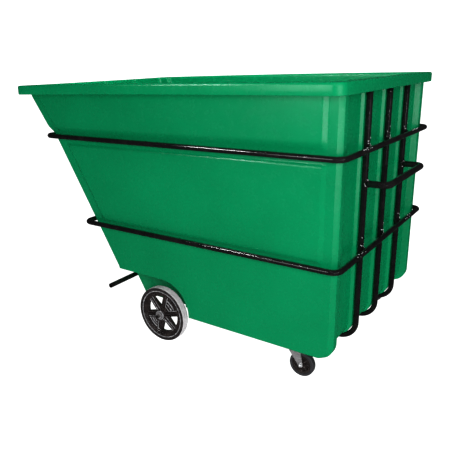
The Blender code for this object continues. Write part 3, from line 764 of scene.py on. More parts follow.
# outer upper edge, then the slightly crowned top and the inner edge
r_top = 0.011
for x, z in quarter(0.0, 0.0, 1.0, 0, 90, 6):
    rings.append(ring3(rim_loop(r_top - r_top * x), top - r_top + r_top * z))
edge_in = outline(top, WALL)
r_in = 0.012
flat_out = rim_loop(r_top)


def grown(loop, d):
    """Moves a loop outwards by d along its own normals."""
    n = len(loop)
    out = []
    for i in range(n):
        ax, ay = loop[i - 1][0], loop[i - 1][1]
        bx, by = loop[(i + 1) % n][0], loop[(i + 1) % n][1]
        tx, ty = bx - ax, by - ay
        length = math.hypot(tx, ty) or 1.0
        # the loop runs clockwise seen from above from the back along -Y
        out.append((loop[i][0] - d * ty / length * ORIENT, loop[i][1] + d * tx / length * ORIENT))
    return out


area = sum(a[0] * b[1] - b[0] * a[1] for a, b in zip(TOP_LOOP, TOP_LOOP[1:] + TOP_LOOP[:1]))
ORIENT = -1 if area > 0 else 1
for x, z in quarter(0.0, 0.0, 1.0, 90, 180, 6):
    rings.append(ring3(grown(edge_in, r_in + r_in * x), top - r_in + r_in * z))
inner = bottom(TUB_Z + WALL, WALL) + [ring3(outline(z, WALL), z) for z in LEVELS + [top - 0.022]]
rings += inner[::-1]
shell = grid(rings)


def well_profile(grow, x_lo=-0.9, z_lo=0.02):
    z, r = WELL_Z + grow, WELL_R + grow
    pts = [(x_lo, z_lo), (x_lo, z)]
    for k in range(25):
        t = math.radians(90 - 90 * k / 24)
        pts.append((WELL_CX + r * math.cos(t), WELL_CZ + r * math.sin(t)))
    pts += [(WELL_CX + r, z_lo)]
    return pts


def well_cut(side):
    """Wheel well with rounded inner corners and a rolled lip where it meets the side."""
    rings = []
    for k in range(5):
        t = math.pi / 2 * k / 4
        rings.append((WELL_Y + 0.008 * (1 - math.cos(t)), -0.008 * (1 - math.sin(t))))
    for k in range(6):
        t = math.pi / 2 * k / 5
        rings.append((POST_HW - 0.006 + 0.0061 * math.sin(t), 0.006 * (1 - math.cos(t))))
    rings.append((0.9, 0.006))
    return grid([[(x, side * y, z) for x, z in well_profile(g)] for y, g in rings])


def well_block(side):
    """Material that carries the well's own walls inside the tub."""
    poly = []
    for x, z in well_profile(WALL, -0.9, TUB_Z + 0.005):
        poly.append((max(x, nose_x(z) + 0.006), z))
    rings = []
    for k in range(4):
        t = math.pi / 2 * k / 3
        g = 0.007 * (1 - math.sin(t))
        rings.append((WELL_Y - WALL + 0.007 * (1 - math.cos(t)), g))
    rings.append((POST_HW - 0.004, 0.0))
    out = []
    for y, g in rings:
        out.append([(x + (g if i < 2 else 0.0) * 0 - (g if x > 0.1 else 0.0), side * y, z - (g if z > TUB_Z + 0.02 else 0.0)) for i, (x, z) in enumerate(poly)])
    return grid(out)


def step_block():
    z = TUB_Z_FRONT + WALL
    poly = [(nose_x(TUB_Z) + 0.006, TUB_Z + 0.004), (nose_x(z) + 0.006, z), (0.064 + WALL, z), (0.064 + WALL + 0.012, TUB_Z + 0.004)]
    return prism(poly, -(POST_HW - 0.016), POST_HW - 0.016)


def relief():
    return prism([(-0.9, 0.0), (-0.9, TUB_Z_FRONT), (0.064, TUB_Z_FRONT), (0.082, 0.0)], -0.8, 0.8)


tub_mesh = solve(shell, [("UNION", well_block(-1)), ("UNION", well_block(1)), ("UNION", step_block()),
                         ("DIFFERENCE", well_cut(-1)), ("DIFFERENCE", well_cut(1)), ("DIFFERENCE", relief())])
piece("tub_shell", tub_mesh, GREEN, "truck", "tub", 40)


# ------------------------------------------------------------------ cradle of tubes
def ring_path(spec):
    p = [(RING_XB, -spec["hw"]), (RING_XB, spec["hw"]), (spec["xf"], spec["hw"]), (spec["xf"], -spec["hw"])]
    pts = [(x, y, spec["z0"] + spec["k"] * x) for x, y in p]
    return even(filleted(pts, RING_BEND, 14, True), 0.12, True)


piece("upper_ring_tube", sweep(ring_path(RING1), PIPE_R, closed=True), BLACK, "truck", "upper_ring", 60)
piece("lower_ring_tube", sweep(ring_path(RING2), PIPE_R, closed=True), BLACK, "truck", "lower_ring", 60)
TAGS = (("left", -1), ("middle", 0), ("right", 1))
for tag, s in TAGS:
    y = s * RIDGE_Y
    path = [(TUBE_X, y, RIM_Z0 + RIM_SLOPE * TUBE_X - WALL - 0.012), (TUBE_X, y, TUBE_Z), (AXLE_TUBE_R + GAP + 0.0005, y, TUBE_Z)]
    piece("upright_tube_" + tag, sweep(even(filleted(path, 0.088, 18), 0.12), PIPE_R), BLACK, "truck", "back_tube_" + tag, 60)
hx = TUBE_X + PIPE_R + 0.0006
handle = filleted([(hx, -RIDGE_Y, HANDLE_Z), (HANDLE_X, -RIDGE_Y, HANDLE_Z), (HANDLE_X, RIDGE_Y, HANDLE_Z), (hx, RIDGE_Y, HANDLE_Z)], 0.034, 14)
piece("handle_tube", sweep(even(handle, 0.08), GRIP_R, 32), BLACK, "truck", "push_handle", 60)
bar_path = [(BAR_X, BAR_L * (k / 10 - 0.5), BAR_Z) for k in range(11)]
piece("dump_bar_pipe", sweep(bar_path, PIPE_R, 32, bore=PIPE_R - 0.0029), BLACK, "truck", "dump_bar", 60)
axle_path = [(0.0, 0.5430 * (k / 5 - 1), AXLE_Z) for k in range(11)]
piece("axle_sleeve_pipe", sweep(axle_path, AXLE_TUBE_R, 32, bore=AXLE_TUBE_IR), BLACK, "truck", "axle_tube", 60)
bar = Vector((BAR_X, 0.0, BAR_Z))
knee = Vector((-0.242, 0.0, AXLE_Z))
stop = bar + (knee - bar).normalized() * (PIPE_R + 0.0006)
for tag, s in (("left", -1), ("right", 1)):
    off = Vector((0.0, s * RIDGE_Y, 0.0))
    path = [Vector((-AXLE_TUBE_R - 0.0006, 0.0, AXLE_Z)) + off, knee + off, stop + off]
    piece("strut_tube_" + tag, sweep(even(filleted(path, 0.060, 12), 0.05), PIPE_R), BLACK, "truck", "bar_strut_" + tag, 60)


# ------------------------------------------------------------------ weld beads
def bead(path, r, seed, n=10):
    """Lumpy rounded bead along a short path."""
    pts = even([Vector(p) for p in path], 0.0012)
    m = len(pts)
    rings = []
    tang = [(pts[min(i + 1, m - 1)] - pts[max(i - 1, 0)]).normalized() for i in range(m)]
    for i, p in enumerate(pts):
        t = i / (m - 1)
        ripple = 1 + 0.13 * math.sin(i * 1.9 + seed) + 0.05 * math.sin(i * 0.7 + 2.3 * seed)
        rr = r * ripple * max(0.12, min(1.0, (min(t, 1 - t) * (m - 1) * 0.0012 / (r * 0.9))) ** 0.5)
        ref = Vector((0.3, 0.5, 0.8))
        a = (ref - tang[i] * ref.dot(tang[i])).normalized()
        b = tang[i].cross(a)
        rings.append([p + a * (rr * math.cos(2 * math.pi * k / n)) + b * (rr * math.sin(2 * math.pi * k / n)) for k in range(n)])
    return grid(rings)


beads = []
rb = 0.0030


def cross_beads(x_in, r_in, x_out, r_out, y, z):
    """Beads above and below a level tube that crosses outside an upright one."""
    for up in (-1, 1):
        pts = []
        for k in range(-5, 6):
            dy = 0.0019 * k
            xb = x_in + math.sqrt((r_in + rb) ** 2 - dy * dy)
            zz = math.sqrt(max(1e-8, (r_out + rb) ** 2 - (x_out - xb) ** 2))
            pts.append((xb, y + dy, z + up * zz))
        beads.append(bead(pts, 0.0040, y * 31 + z * 17 + up))


for spec in (RING1, RING2):
    z = spec["z0"] + spec["k"] * RING_XB
    for tag, s in TAGS:
        cross_beads(TUBE_X, PIPE_R, RING_XB, PIPE_R, s * RIDGE_Y, z)


def collar_bead(centre, axis, r, big=0.0036, lift=0.0, around=None):
    """Bead all the way round a tube's end where it butts another tube of radius around, or a flat."""
    axis = Vector(axis).normalized()
    ref = Vector((0, 0, 1)) if abs(axis.z) < 0.9 else Vector((1, 0, 0))
    a = (ref - axis * ref.dot(axis)).normalized()
    b = axis.cross(a)
    pts = []
    n = 40
    for k in range(n):
        t = 2 * math.pi * k / n
        p = a * math.cos(t) * (r + 0.001) + b * math.sin(t) * (r + 0.001)
        back = 0.0
        if around:
            # the tube met runs along b (or a): drop onto its surface
            d = p.dot(around[1])
            back = around[0] - math.sqrt(max(1e-8, (around[0] + 0.001) ** 2 - min(d * d, (around[0] * 0.98) ** 2)))
        pts.append(Vector(centre) + p - axis * back)
    m = len(pts)
    rings = []
    for i, p in enumerate(pts):
        t = (pts[(i + 1) % m] - pts[i - 1]).normalized()
        ref2 = axis
        u = (ref2 - t * ref2.dot(t)).normalized()
        v = t.cross(u)
        rr = big * (1 + 0.12 * math.sin(i * 2.4 + r * 900) + 0.05 * math.sin(i * 0.9))
        rings.append([p + u * (rr * math.cos(2 * math.pi * k / 10)) + v * (rr * math.sin(2 * math.pi * k / 10)) for k in range(10)])
    beads.append(grid(rings, closed_v=True))


for s in (-1, 1):
    # push handle ends on the outer uprights (axis +X, upright runs along Z)
    collar_bead((hx, s * RIDGE_Y, HANDLE_Z), (1, 0, 0), GRIP_R, 0.0036, around=(PIPE_R, Vector((0, 1, 0))))
    # struts on the axle sleeve and on the dump bar
    collar_bead((-AXLE_TUBE_R - 0.0006, s * RIDGE_Y, AXLE_Z), (-1, 0, 0), PIPE_R, 0.0032, around=(AXLE_TUBE_R, Vector((0, 0, 1))))
    d = (knee - bar).normalized()
    side = Vector((0, 1, 0)).cross(d)
    collar_bead(tuple(stop + Vector((0, s * RIDGE_Y, 0))), d, PIPE_R, 0.0030, around=(PIPE_R, side))
for tag, s in TAGS:
    collar_bead((AXLE_TUBE_R + GAP, s * RIDGE_Y, TUBE_Z), (1, 0, 0), PIPE_R, 0.0032, around=(AXLE_TUBE_R, Vector((0, 0, 1))))
# plates welded along the outer uprights' runs
inner_y = RIDGE_Y + PIPE_R + 0.0005
for s in (-1, 1):
    for x0, x1 in ((CAST_X - 0.050, CAST_X + 0.050), (0.100, 0.150)):
        for a, b in ((x0, x0 + 0.030), (x1 - 0.030, x1)) if x1 - x0 > 0.07 else ((x0, x1),):
            beads.append(bead([(a, s * (inner_y - 0.001), MP_BOT - 0.0005), (b, s * (inner_y - 0.001), MP_BOT - 0.0005)], 0.0030, a * 60 + s))
piece("weld_beads", joined(beads), WELD, "truck", (), 70)


def droplet(centre, r, seed):
    """Lumpy near-white drop sitting on a tube, shaped as weld spatter; its bright colour is a painted glint."""
    rings = []
    for i in range(1, 6):
        t = math.pi * i / 6
        row = []
        for k in range(8):
            u = 2 * math.pi * k / 8
            rr = r * (1 + 0.14 * math.sin(3 * u + seed) * math.sin(t))
            row.append(Vector(centre) + Vector((rr * math.sin(t) * math.cos(u), rr * math.sin(t) * math.sin(u), rr * math.cos(t))))
        rings.append(row)
    return grid(rings)


# near-white drops round the crossings and on the bends beside them, shaped as weld spatter: painted glints on the black
# pipe
drops = []
for j, spec in enumerate((RING1, RING2)):
    z = spec["z0"] + spec["k"] * RING_XB
    for tag, s in TAGS:
        for k in range(7):
            q = math.sin(k * 12.9898 + j * 78.233 + s * 37.719) * 43758.5453
            q -= math.floor(q)
            w = math.sin(k * 39.425 + j * 11.135 + s * 83.155) * 24634.6345
            w -= math.floor(w)
            t = math.radians(-80 + 160 * q)
            drops.append(droplet((TUBE_X + PIPE_R * math.cos(t), s * RIDGE_Y + PIPE_R * math.sin(t), z + PIPE_R + 0.006 + 0.052 * w * w), 0.0017 + 0.0013 * abs(math.sin(7 * q)), k))
    for s in (-1, 1):
        for k in range(6):
            w = math.sin(k * 17.13 + j * 5.77 + s * 3.31) * 9631.77
            w -= math.floor(w)
            t = math.radians(20 + 60 * w)
            y = s * (RIDGE_Y + 0.030 + 0.105 * ((k + w) / 6))
            drops.append(droplet((RING_XB + PIPE_R * math.cos(t), y, z + PIPE_R * math.sin(t)), 0.0016 + 0.0012 * w, k + 3))
piece("painted_glint_spatter", joined(drops), GLINT_SPATTER, "truck", (), 60)

# ------------------------------------------------------------------ plates
PLATE_DX, PLATE_DY = 0.036, 0.034
BOLTS = [(CAST_X + a * PLATE_DX, s * (CAST_Y + b * PLATE_DY)) for s in (-1, 1) for a in (-1, 1) for b in (-1, 1)]
BOLTS += [(0.125, s * y) for s in (-1, 1) for y in (0.312, 0.372)]
HOLE_R, BOLT_R = 0.0054, 0.0048


def circle(x, y, r, n):
    return [(x + r * math.cos(2 * math.pi * k / n), y + r * math.sin(2 * math.pi * k / n)) for k in range(n)]


def plate(name, x0, x1, y0, y1, z0, z1, mat, node, extra=()):
    poly = soft_profile([(x0, y0), (x1, y0), (x1, y1), (x0, y1)], 0.008, 6)
    tools = [prism(circle(x, y, HOLE_R, 20), z0 - 0.01, z1 + 0.01, "Z") for x, y in BOLTS if x0 < x < x1 and y0 < y < y1]
    tools += [prism(circle(x, y, r, 24), z0 - 0.01, z1 + 0.01, "Z") for x, y, r in extra]
    me = solve(prism(poly, z0, z1, "Z"), [("DIFFERENCE", joined(tools))])
    bevel(piece(name, me, mat, "truck", node, 35), 0.0006)


for tag, s in (("left", -1), ("right", 1)):
    y0, y1 = sorted((s * inner_y, s * 0.549))
    plate("mount_plate_" + tag, CAST_X - 0.062, CAST_X + 0.062, y0, y1, MP_BOT, MP_TOP, BLACK, "caster_mount_plate_" + tag)
    y0, y1 = sorted((s * inner_y, s * 0.402))
    plate("front_plate_" + tag, 0.092, 0.158, y0, y1, MP_BOT, MP_TOP, BLACK, "front_mount_plate_" + tag)
    y0, y1 = sorted((s * (CAST_Y - 0.050), s * (CAST_Y + 0.050)))
    plate("top_plate_" + tag, CAST_X - 0.049, CAST_X + 0.049, y0, y1, CP_BOT, CP_TOP, ZINC, "caster_plate_" + tag, [(CAST_X, s * CAST_Y, 0.0064)])

FLOOR = TUB_Z + WALL + GAP
for i, (x, y) in enumerate(BOLTS):
    z_low = (CP_BOT if i < 8 else MP_BOT) - 0.0085
    h = z_low - FLOOR
    prof = [(0.0040, h), (BOLT_R, h + 0.0008), (BOLT_R, 0.0)]
    prof += [(0.0112 * math.cos(math.radians(a)) ** 0.8 if a < 90 else 0.0, 0.0042 * math.sin(math.radians(a))) for a in (0, 15, 30, 45, 60, 75)]
    me = turned([(r, z) for r, z in prof], 24, "Z", (x, y, FLOOR), closed=False)
    # hexagon nut under the plate
    base = (CP_BOT if i < 8 else MP_BOT) - GAP
    hexa = [(x + 0.0088 * math.cos(math.pi / 3 * k), y + 0.0088 * math.sin(math.pi / 3 * k)) for k in range(6)]
    bm = bmesh.new()
    levels = [(base - 0.0062, 0.90), (base - 0.0055, 1.0), (base, 1.0)]
    loops = [[bm.verts.new((x + (px - x) * f, y + (py - y) * f, z)) for px, py in hexa] for z, f in levels]
    holes = [[bm.verts.new((x + 0.0050 * math.cos(math.pi / 3 * k), y + 0.0050 * math.sin(math.pi / 3 * k), z)) for k in range(6)] for z in (base - 0.0062, base)]
    for a, b in ((loops[0], loops[1]), (loops[1], loops[2]), (loops[2], holes[1]), (holes[1], holes[0]), (holes[0], loops[0])):
        for k in range(6):
            j = (k + 1) % 6
            bm.faces.new((a[k], a[j], b[j], b[k]))
    bmesh.ops.recalc_face_normals(bm, faces=bm.faces)
    nut = bpy.data.meshes.new("nut")
    bm.to_mesh(nut)
    bm.free()
    piece("bolt_%02d" % (i + 1), joined([me]), ZINC, "truck", "floor_bolt_%02d" % (i + 1), 35)
    piece("bolt_nut_%02d" % (i + 1), nut, ZINC, "truck", (), 30)

# ------------------------------------------------------------------ axle
AXLE_END = 0.634
prof = [(0.0040, -AXLE_END)] + [(AXLE_R - 0.0018 + 0.0018 * math.sin(math.radians(a)), -AXLE_END + 0.0018 - 0.0018 * math.cos(math.radians(a))) for a in (0, 30, 60, 90)]
prof += [(r, -y) for r, y in prof[::-1]]
axle_mesh = turned(prof, 48, "Y", (0, 0, AXLE_Z), closed=False)
PIN_Y = 0.6265
axle_mesh = solve(axle_mesh, [("DIFFERENCE", joined([prism(circle(0.0, s * PIN_Y, 0.0021, 16), AXLE_Z - 0.03, AXLE_Z + 0.03, "Z") for s in (-1, 1)]))])
piece("axle_rod", axle_mesh, STEEL, "truck", "axle", 40)
HUB_OUT = WHEEL_Y + 0.036
for tag, s in (("left", -1), ("right", 1)):
    for where, y0, t in (("inner", 0.5436, 0.0038), ("outer", HUB_OUT + 0.0006, 0.0030)):
        prof = soft_profile([(AXLE_R + 0.0006, y0), (0.0185, y0), (0.0185, y0 + t), (AXLE_R + 0.0006, y0 + t)], 0.0006, 3)
        piece("washer_%s_%s" % (where, tag), turned(prof, 40, "Y", (0, 0, AXLE_Z), s), ZINC, "truck", "axle_washer_%s_%s" % (where, tag), 40)
    # split pin: an eye on top, two legs bent apart below
    eye = [(0.0, s * PIN_Y, AXLE_Z + 0.0112)]
    legs = []
    for d in (-1, 1):
        pth = [(d * 0.0008, s * PIN_Y, AXLE_Z + 0.0110), (d * 0.0008, s * PIN_Y, AXLE_Z - 0.0105), (d * 0.0030, s * PIN_Y, AXLE_Z - 0.0140)]
        legs.append(sweep(even(pth, 0.003), 0.0008, 10))
    loop = [(0.0034 * math.sin(math.radians(a)), s * PIN_Y, AXLE_Z + 0.0128 - 0.0026 * math.cos(math.radians(a))) for a in range(25, 336, 20)]
    legs.append(sweep(loop, 0.0008, 10, up=(0, 1, 0)))
    piece("split_pin_" + tag, joined(legs), ZINC, "truck", "cotter_pin_" + tag, 60)

# ------------------------------------------------------------------ main wheels
BUSH_R = 0.0145
W0 = math.radians(45)


def window(k, half, apex, r_out, y0, y1, grow=0.0):
    """Three-sided opening between two spokes with rounded corners."""
    mid = W0 + math.pi / 3 * k
    a0 = math.asin(half / r_out)
    n = 9
    pts = [(apex - grow * 2, 0.0, 0.003)]
    for j in range(n + 1):
        t = (math.pi / 6 - a0) * (2 * j / n - 1)
        r = 0.004 if j in (0, n) else 0.0
        pts.append(((r_out + grow) * math.cos(t * (1 + grow * 6)), (r_out + grow) * math.sin(t * (1 + grow * 6)), r))
    flat = soft_profile(pts, 0.003, 4)
    c, s = math.cos(mid), math.sin(mid)
    return prism([(x * c - z * s, AXLE_Z + x * s + z * c) for x, z in flat], y0, y1)


def spoke_rib(k, off, half, r0, r1, y0, y1, top0, top1):
    """Raised rib lying along a spoke: off is its distance from the spoke's centre line."""
    a = W0 + math.pi / 6 + math.pi / 3 * k
    c, s = math.cos(a), math.sin(a)
    rings = []
    n = 6
    for i in range(n + 1):
        f = i / n
        r = r0 + (r1 - r0) * f
        h = top0 + (top1 - top0) * f
        row = []
        for w, y in ((-half, y0), (-half, y0 + (h - y0) * 0.72), (-half * 0.80, h - (h - y0) * 0.08), (-half * 0.35, h), (half * 0.35, h), (half * 0.80, h - (h - y0) * 0.08),
                     (half, y0 + (h - y0) * 0.72), (half, y0)):
            o = off + w
            row.append((r * c - o * s, y, AXLE_Z + r * s + o * c))
        rings.append(row)
    return grid(rings)


def arc_rib(mid, spread, radius, half, y0, y1):
    """Raised rib following a circle about the axle, between two angles."""
    rings = []
    n = 14
    for i in range(n + 1):
        t = mid - spread + 2 * spread * i / n
        c, s = math.cos(t), math.sin(t)
        row = []
        for w, f in ((-half, 0.0), (-half, 0.75), (-half * 0.7, 0.95), (-half * 0.3, 1.0), (half * 0.3, 1.0), (half * 0.7, 0.95), (half, 0.75), (half, 0.0)):
            row.append(((radius + w) * c, y0 + (y1 - y0) * f, AXLE_Z + (radius + w) * s))
        rings.append(row)
    return grid(rings)


for tag, s in (("left", -1), ("right", 1)):
    body = tag + "_wheel"
    at = (0.0, s * WHEEL_Y, AXLE_Z)
    core = [(BUSH_R + GAP, -0.034), (0.0245, -0.034), (0.0275, -0.030), (0.029, -0.006),
            (0.104, -0.006), (0.110, -0.019), (0.1375, -0.019), (0.1375, 0.019),
            (0.1345, 0.0200, 0.0008), (0.1300, 0.0200, 0.0008), (0.1290, 0.0165, 0.0006), (0.1235, 0.0160, 0.0008), (0.1225, 0.0140, 0.0006),
            (0.1150, 0.0130, 0.001), (0.1140, 0.0092, 0.0008), (0.1060, 0.0080, 0.001), (0.1045, 0.0060, 0.0008), (0.0300, 0.006, 0.002),
            (0.0285, 0.026, 0.001), (0.0255, 0.0300, 0.0012), (0.0245, 0.036, 0.0010), (0.0200, 0.036, 0.0006), (0.0192, 0.0345, 0.0004), (0.0166, 0.0345, 0.0004), (0.0160, 0.036, 0.0004), (BUSH_R + GAP, 0.036)]
    base = turned(soft_profile([(p[0], p[1]) + tuple(p[2:]) for p in core], 0.0012, 3), 96, "Y", at, s)
    tools = joined([window(k, 0.0185, 0.040, 0.101, -0.05 + s * WHEEL_Y, 0.05 + s * WHEEL_Y) for k in (1, 2, 4, 5)])
    me = solve(base, [("DIFFERENCE", tools)])
    ribs = []
    for k in range(6):
        for off in (-0.0128, 0.0, 0.0128):
            for face in (-1, 1):
                lo = 0.0050 * face
                t0, t1 = (0.0215, 0.0105) if off == 0 else (0.0165, 0.0095)
                rib = spoke_rib(k, off, 0.0022, 0.0275 if off == 0 else 0.0255, 0.1065, s * WHEEL_Y + s * lo, 0, s * WHEEL_Y + s * t0 * face, s * WHEEL_Y + s * t1 * face)
                ribs.append(rib)
    piece("wheel_core_" + tag + "_moulding", me, [CORE, RIB_PAINTED_HIGHLIGHT], body, "wheel_core_" + tag, 30)
    # the tyre lip ring and the hub's outer face take the pale finish: a painted highlight ring
    for p in me.polygons:
        r = math.hypot(p.center.x - MX, p.center.z - AXLE_Z)
        if abs(p.center.y - s * WHEEL_Y) > 0.0194 and 0.1285 < r < 0.1352 or abs(p.center.y - s * WHEEL_Y) > 0.0296 and r > 0.018:
            p.material_index = 1
    for mid in (45, 225):
        for r, h in ((0.0600, 0.0180), (0.0770, 0.0170), (0.0940, 0.0155)):
            for face in (-1, 1):
                ribs.append(arc_rib(math.radians(mid), math.radians(30) - math.asin(0.0170 / r), r, 0.0030, s * WHEEL_Y + face * 0.0050, s * WHEEL_Y + face * h))
    me = joined(ribs)
    piece("wheel_ribs_" + tag, me, [CORE, RIB_PAINTED_HIGHLIGHT], body, (), 40)
    # side-facing rib tops in two sectors take the pale finish: painted highlight on the ribs
    for p in me.polygons:
        t = math.degrees(math.atan2(p.center.z - AXLE_Z, p.center.x - MX)) % 180
        wear_and_glint = abs(t - 45) < 26 and math.hypot(p.center.x - MX, p.center.z - AXLE_Z) > 0.056 or abs(t - 135) < 32
        p.material_index = 1 if wear_and_glint and abs(p.normal.y) > 0.35 and abs(p.center.y - s * WHEEL_Y) > 0.0085 else 0
    # tyre: dark moulded walls, paler running band
    T = [(0.1378, -0.0215), (0.1400, -0.0220), (0.1410, -0.0214), (0.1440, -0.0214), (0.1450, -0.0220), (0.1470, -0.0220), (0.1495, -0.0212), (0.1510, -0.0198), (0.1519, -0.0178), (0.1523, -0.0150),
         (0.1524, -0.0100), (0.1524, -0.0012), (0.1521, -0.0004), (0.1521, 0.0004), (0.1524, 0.0012), (0.1524, 0.0100),
         (0.1523, 0.0150), (0.1519, 0.0178), (0.1510, 0.0198), (0.1495, 0.0212), (0.1470, 0.0220), (0.1450, 0.0220), (0.1440, 0.0214), (0.1410, 0.0214), (0.1400, 0.0220), (0.1378, 0.0215)]
    me = turned(T, 120, "Y", at, s)
    ob = piece("tyre_" + tag + "_rubber", me, [TREAD, SIDEWALL], body, "tyre_" + tag, 30)
    for p in me.polygons:
        c = p.center
        p.material_index = 0 if abs(c.y - s * WHEEL_Y) < 0.0188 and math.hypot(c.x - MX, c.z - AXLE_Z) > 0.147 else 1
    bush = soft_profile([(AXLE_R + 0.0002, -0.0338), (BUSH_R, -0.0338), (BUSH_R, 0.0358), (AXLE_R + 0.0002, 0.0358)], 0.0005, 3)
    piece("bush_" + tag, turned(bush, 48, "Y", at, s), NYLON, body, "wheel_bushing_" + tag, 40)

# ------------------------------------------------------------------ swivel casters
CROWN_TOP, CROWN_BOT = CP_BOT - 0.0093, CP_BOT - 0.0133
LEG_IN, LEG_T = 0.0195, 0.0035
CAX_R, SLEEVE_R = 0.0050, 0.0075
for tag, s in (("left", -1), ("right", 1)):
    yk = s * CAST_Y
    xa, za = CAST_X + TRAIL, CAST_R
    race = soft_profile([(0.0068, CP_BOT - GAP), (0.0068, CROWN_TOP + GAP), (0.024, CROWN_TOP + GAP), (0.0275, CROWN_TOP + 0.0035),
                         (0.0262, CROWN_TOP + 0.0047), (0.0275, CROWN_TOP + 0.0060), (0.0275, CP_BOT - 0.0015), (0.026, CP_BOT - GAP)], 0.0006, 2)
    piece("race_" + tag, turned(race, 56, "Z", (CAST_X, yk, 0.0)), ZINC, "truck", "swivel_bearing_" + tag, 35)
    pin = [(0.0060, CROWN_BOT - 0.0046), (0.0088, CROWN_BOT - 0.0042), (0.0103, CROWN_BOT - 0.0030), (0.0105, CROWN_BOT - 0.0010), (0.0105, CROWN_BOT - GAP), (0.0060, CROWN_BOT - GAP),
           (0.0060, CP_TOP - 0.0010), (0.0052, CP_TOP - 0.0002)]
    piece("pivot_pin_" + tag, turned(pin, 40, "Z", (CAST_X, yk, 0.0), closed=False), STEEL, "truck", "kingpin_" + tag, 35)

    # fork: folded channel with rounded shoulders, trimmed to tapering legs
    w = LEG_IN + LEG_T
    chan = soft_profile([(-w, -0.02, 0), (-LEG_IN, -0.02, 0), (-LEG_IN, CROWN_BOT, 0.003), (LEG_IN, CROWN_BOT, 0.003), (LEG_IN, -0.02, 0), (w, -0.02, 0),
                         (w, CROWN_TOP, 0.0055), (-w, CROWN_TOP, 0.0055)], 0.0, 6)
    n = 12
    rows = []
    for k in range(n + 1):
        x = CAST_X - 0.09 + 0.21 * k / n
        rows.append([(x, yk + y, z) for y, z in chan])
    side = [(CAST_X - 0.030, CROWN_TOP + 0.01), (CAST_X - 0.030, CROWN_BOT - 0.006)]
    for k in range(19):
        t = math.radians(205 + 132 * k / 18)
        side.append((xa + 0.0125 * math.cos(t), za + 0.0125 * math.sin(t)))
    side += [(CAST_X + 0.031, CROWN_BOT - 0.004), (CAST_X + 0.031, CROWN_TOP + 0.01)]
    hole = [(xa + (CAX_R + GAP) * math.cos(math.pi / 12 * k), za + (CAX_R + GAP) * math.sin(math.pi / 12 * k)) for k in range(24)]
    me = solve(grid(rows), [("INTERSECT", prism(side, yk - 0.05, yk + 0.05)),
                            ("DIFFERENCE", prism(circle(CAST_X, yk, 0.0064, 24), CROWN_BOT - 0.01, CROWN_TOP + 0.01, "Z")),
                            ("DIFFERENCE", prism(hole, yk - 0.05, yk + 0.05))])
    ob = piece("fork_" + tag, me, ZINC, tag + "_caster", "caster_fork_" + tag, 30)
    bevel(ob, 0.0007, 2, 50)

    at = (xa, yk, za)
    cr = [(SLEEVE_R + 0.00035, -0.0175), (0.0125, -0.0175), (0.0150, -0.005), (0.036, -0.005), (0.040, -0.014),
          (0.0475, -0.014), (0.0475, 0.014), (0.040, 0.014), (0.036, 0.005), (0.0150, 0.005), (0.0125, 0.0175), (SLEEVE_R + 0.00035, 0.0175)]
    base = turned(soft_profile(cr, 0.0012, 3), 72, "Y", at)
    piece("caster_hub_" + tag, base, CORE, tag + "_caster_wheel", "caster_core_" + tag, 30)
    ribs = []
    for k in range(8):
        a = math.pi / 4 * k
        c, q = math.cos(a), math.sin(a)
        for face in (-1, 1):
            rows = []
            for f in (0.0, 0.5, 1.0):
                r = 0.0120 + 0.0265 * f
                h = 0.0130 - 0.0015 * f
                row = []
                for ww, y in ((-0.0016, 0.003), (-0.0016, h - 0.001), (-0.0008, h), (0.0008, h), (0.0016, h - 0.001), (0.0016, 0.003)):
                    row.append((xa + r * c - ww * q, yk + face * y, za + r * q + ww * c))
                rows.append(row)
            ribs.append(grid(rows))
    piece("caster_hub_ribs_" + tag, joined(ribs), CORE, tag + "_caster_wheel", (), 40)
    tr = [(0.0487, -0.0150), (0.0500, -0.0156), (0.0520, -0.0154), (0.0560, -0.0158), (0.0590, -0.0158), (0.0608, -0.0150), (0.0622, -0.0132), (0.0631, -0.0105), (0.0635, -0.0065),
          (0.0635, 0.0065), (0.0631, 0.0105), (0.0622, 0.0132), (0.0608, 0.0150), (0.0590, 0.0158), (0.0560, 0.0158), (0.0520, 0.0154), (0.0500, 0.0156), (0.0487, 0.0150)]
    piece("caster_tyre_" + tag, turned(tr, 84, "Y", at), CASTER_RUBBER, tag + "_caster_wheel", "caster_tread_" + tag, 30)
    sl = soft_profile([(CAX_R + GAP, -LEG_IN + GAP), (SLEEVE_R, -LEG_IN + GAP), (SLEEVE_R, LEG_IN - GAP), (CAX_R + GAP, LEG_IN - GAP)], 0.0004, 2)
    piece("sleeve_" + tag, turned(sl, 32, "Y", at), STEEL, tag + "_caster", "caster_sleeve_" + tag, 35)
    # axle bolt: hexagon head on the inner side, thread end through the nut
    head_y, tip = -(w + GAP), w + 0.0125

    def yring(y, r, m, ph=0.0):
        return [(xa + r * math.cos(2 * math.pi * k / m + ph), yk + s * y, za + r * math.sin(2 * math.pi * k / m + ph)) for k in range(m)]

    head = grid([yring(head_y - 0.0060, 0.0084, 6), yring(head_y - 0.0054, 0.0096, 6), yring(head_y, 0.0096, 6)])
    shank = [yring(head_y - 0.001, CAX_R, 20), yring(w + 0.0005, CAX_R, 20)]
    y = w + 0.0008
    while y < tip - 0.0012:
        shank += [yring(y, CAX_R, 20), yring(y + 0.0005, CAX_R - 0.0006, 20)]
        y += 0.0010
    shank += [yring(tip - 0.0008, CAX_R - 0.0003, 20), yring(tip, CAX_R - 0.0011, 20)]
    piece("axle_bolt_" + tag, joined([head, grid(shank)]), BRIGHT, tag + "_caster", "caster_axle_bolt_" + tag, 35)
    y0, y1 = w + GAP, w + GAP + 0.0080
    rows = [yring(y0, 0.0062, 6), yring(y0, 0.0095, 6), yring(y0 + 0.0055, 0.0095, 6), yring(y0 + 0.0062, 0.0086, 6), yring(y1, 0.0080, 6), yring(y1, 0.0062, 6)]
    piece("axle_nut_" + tag, grid(rows, closed_v=True), BRIGHT, tag + "_caster", "caster_axle_nut_" + tag, 25)

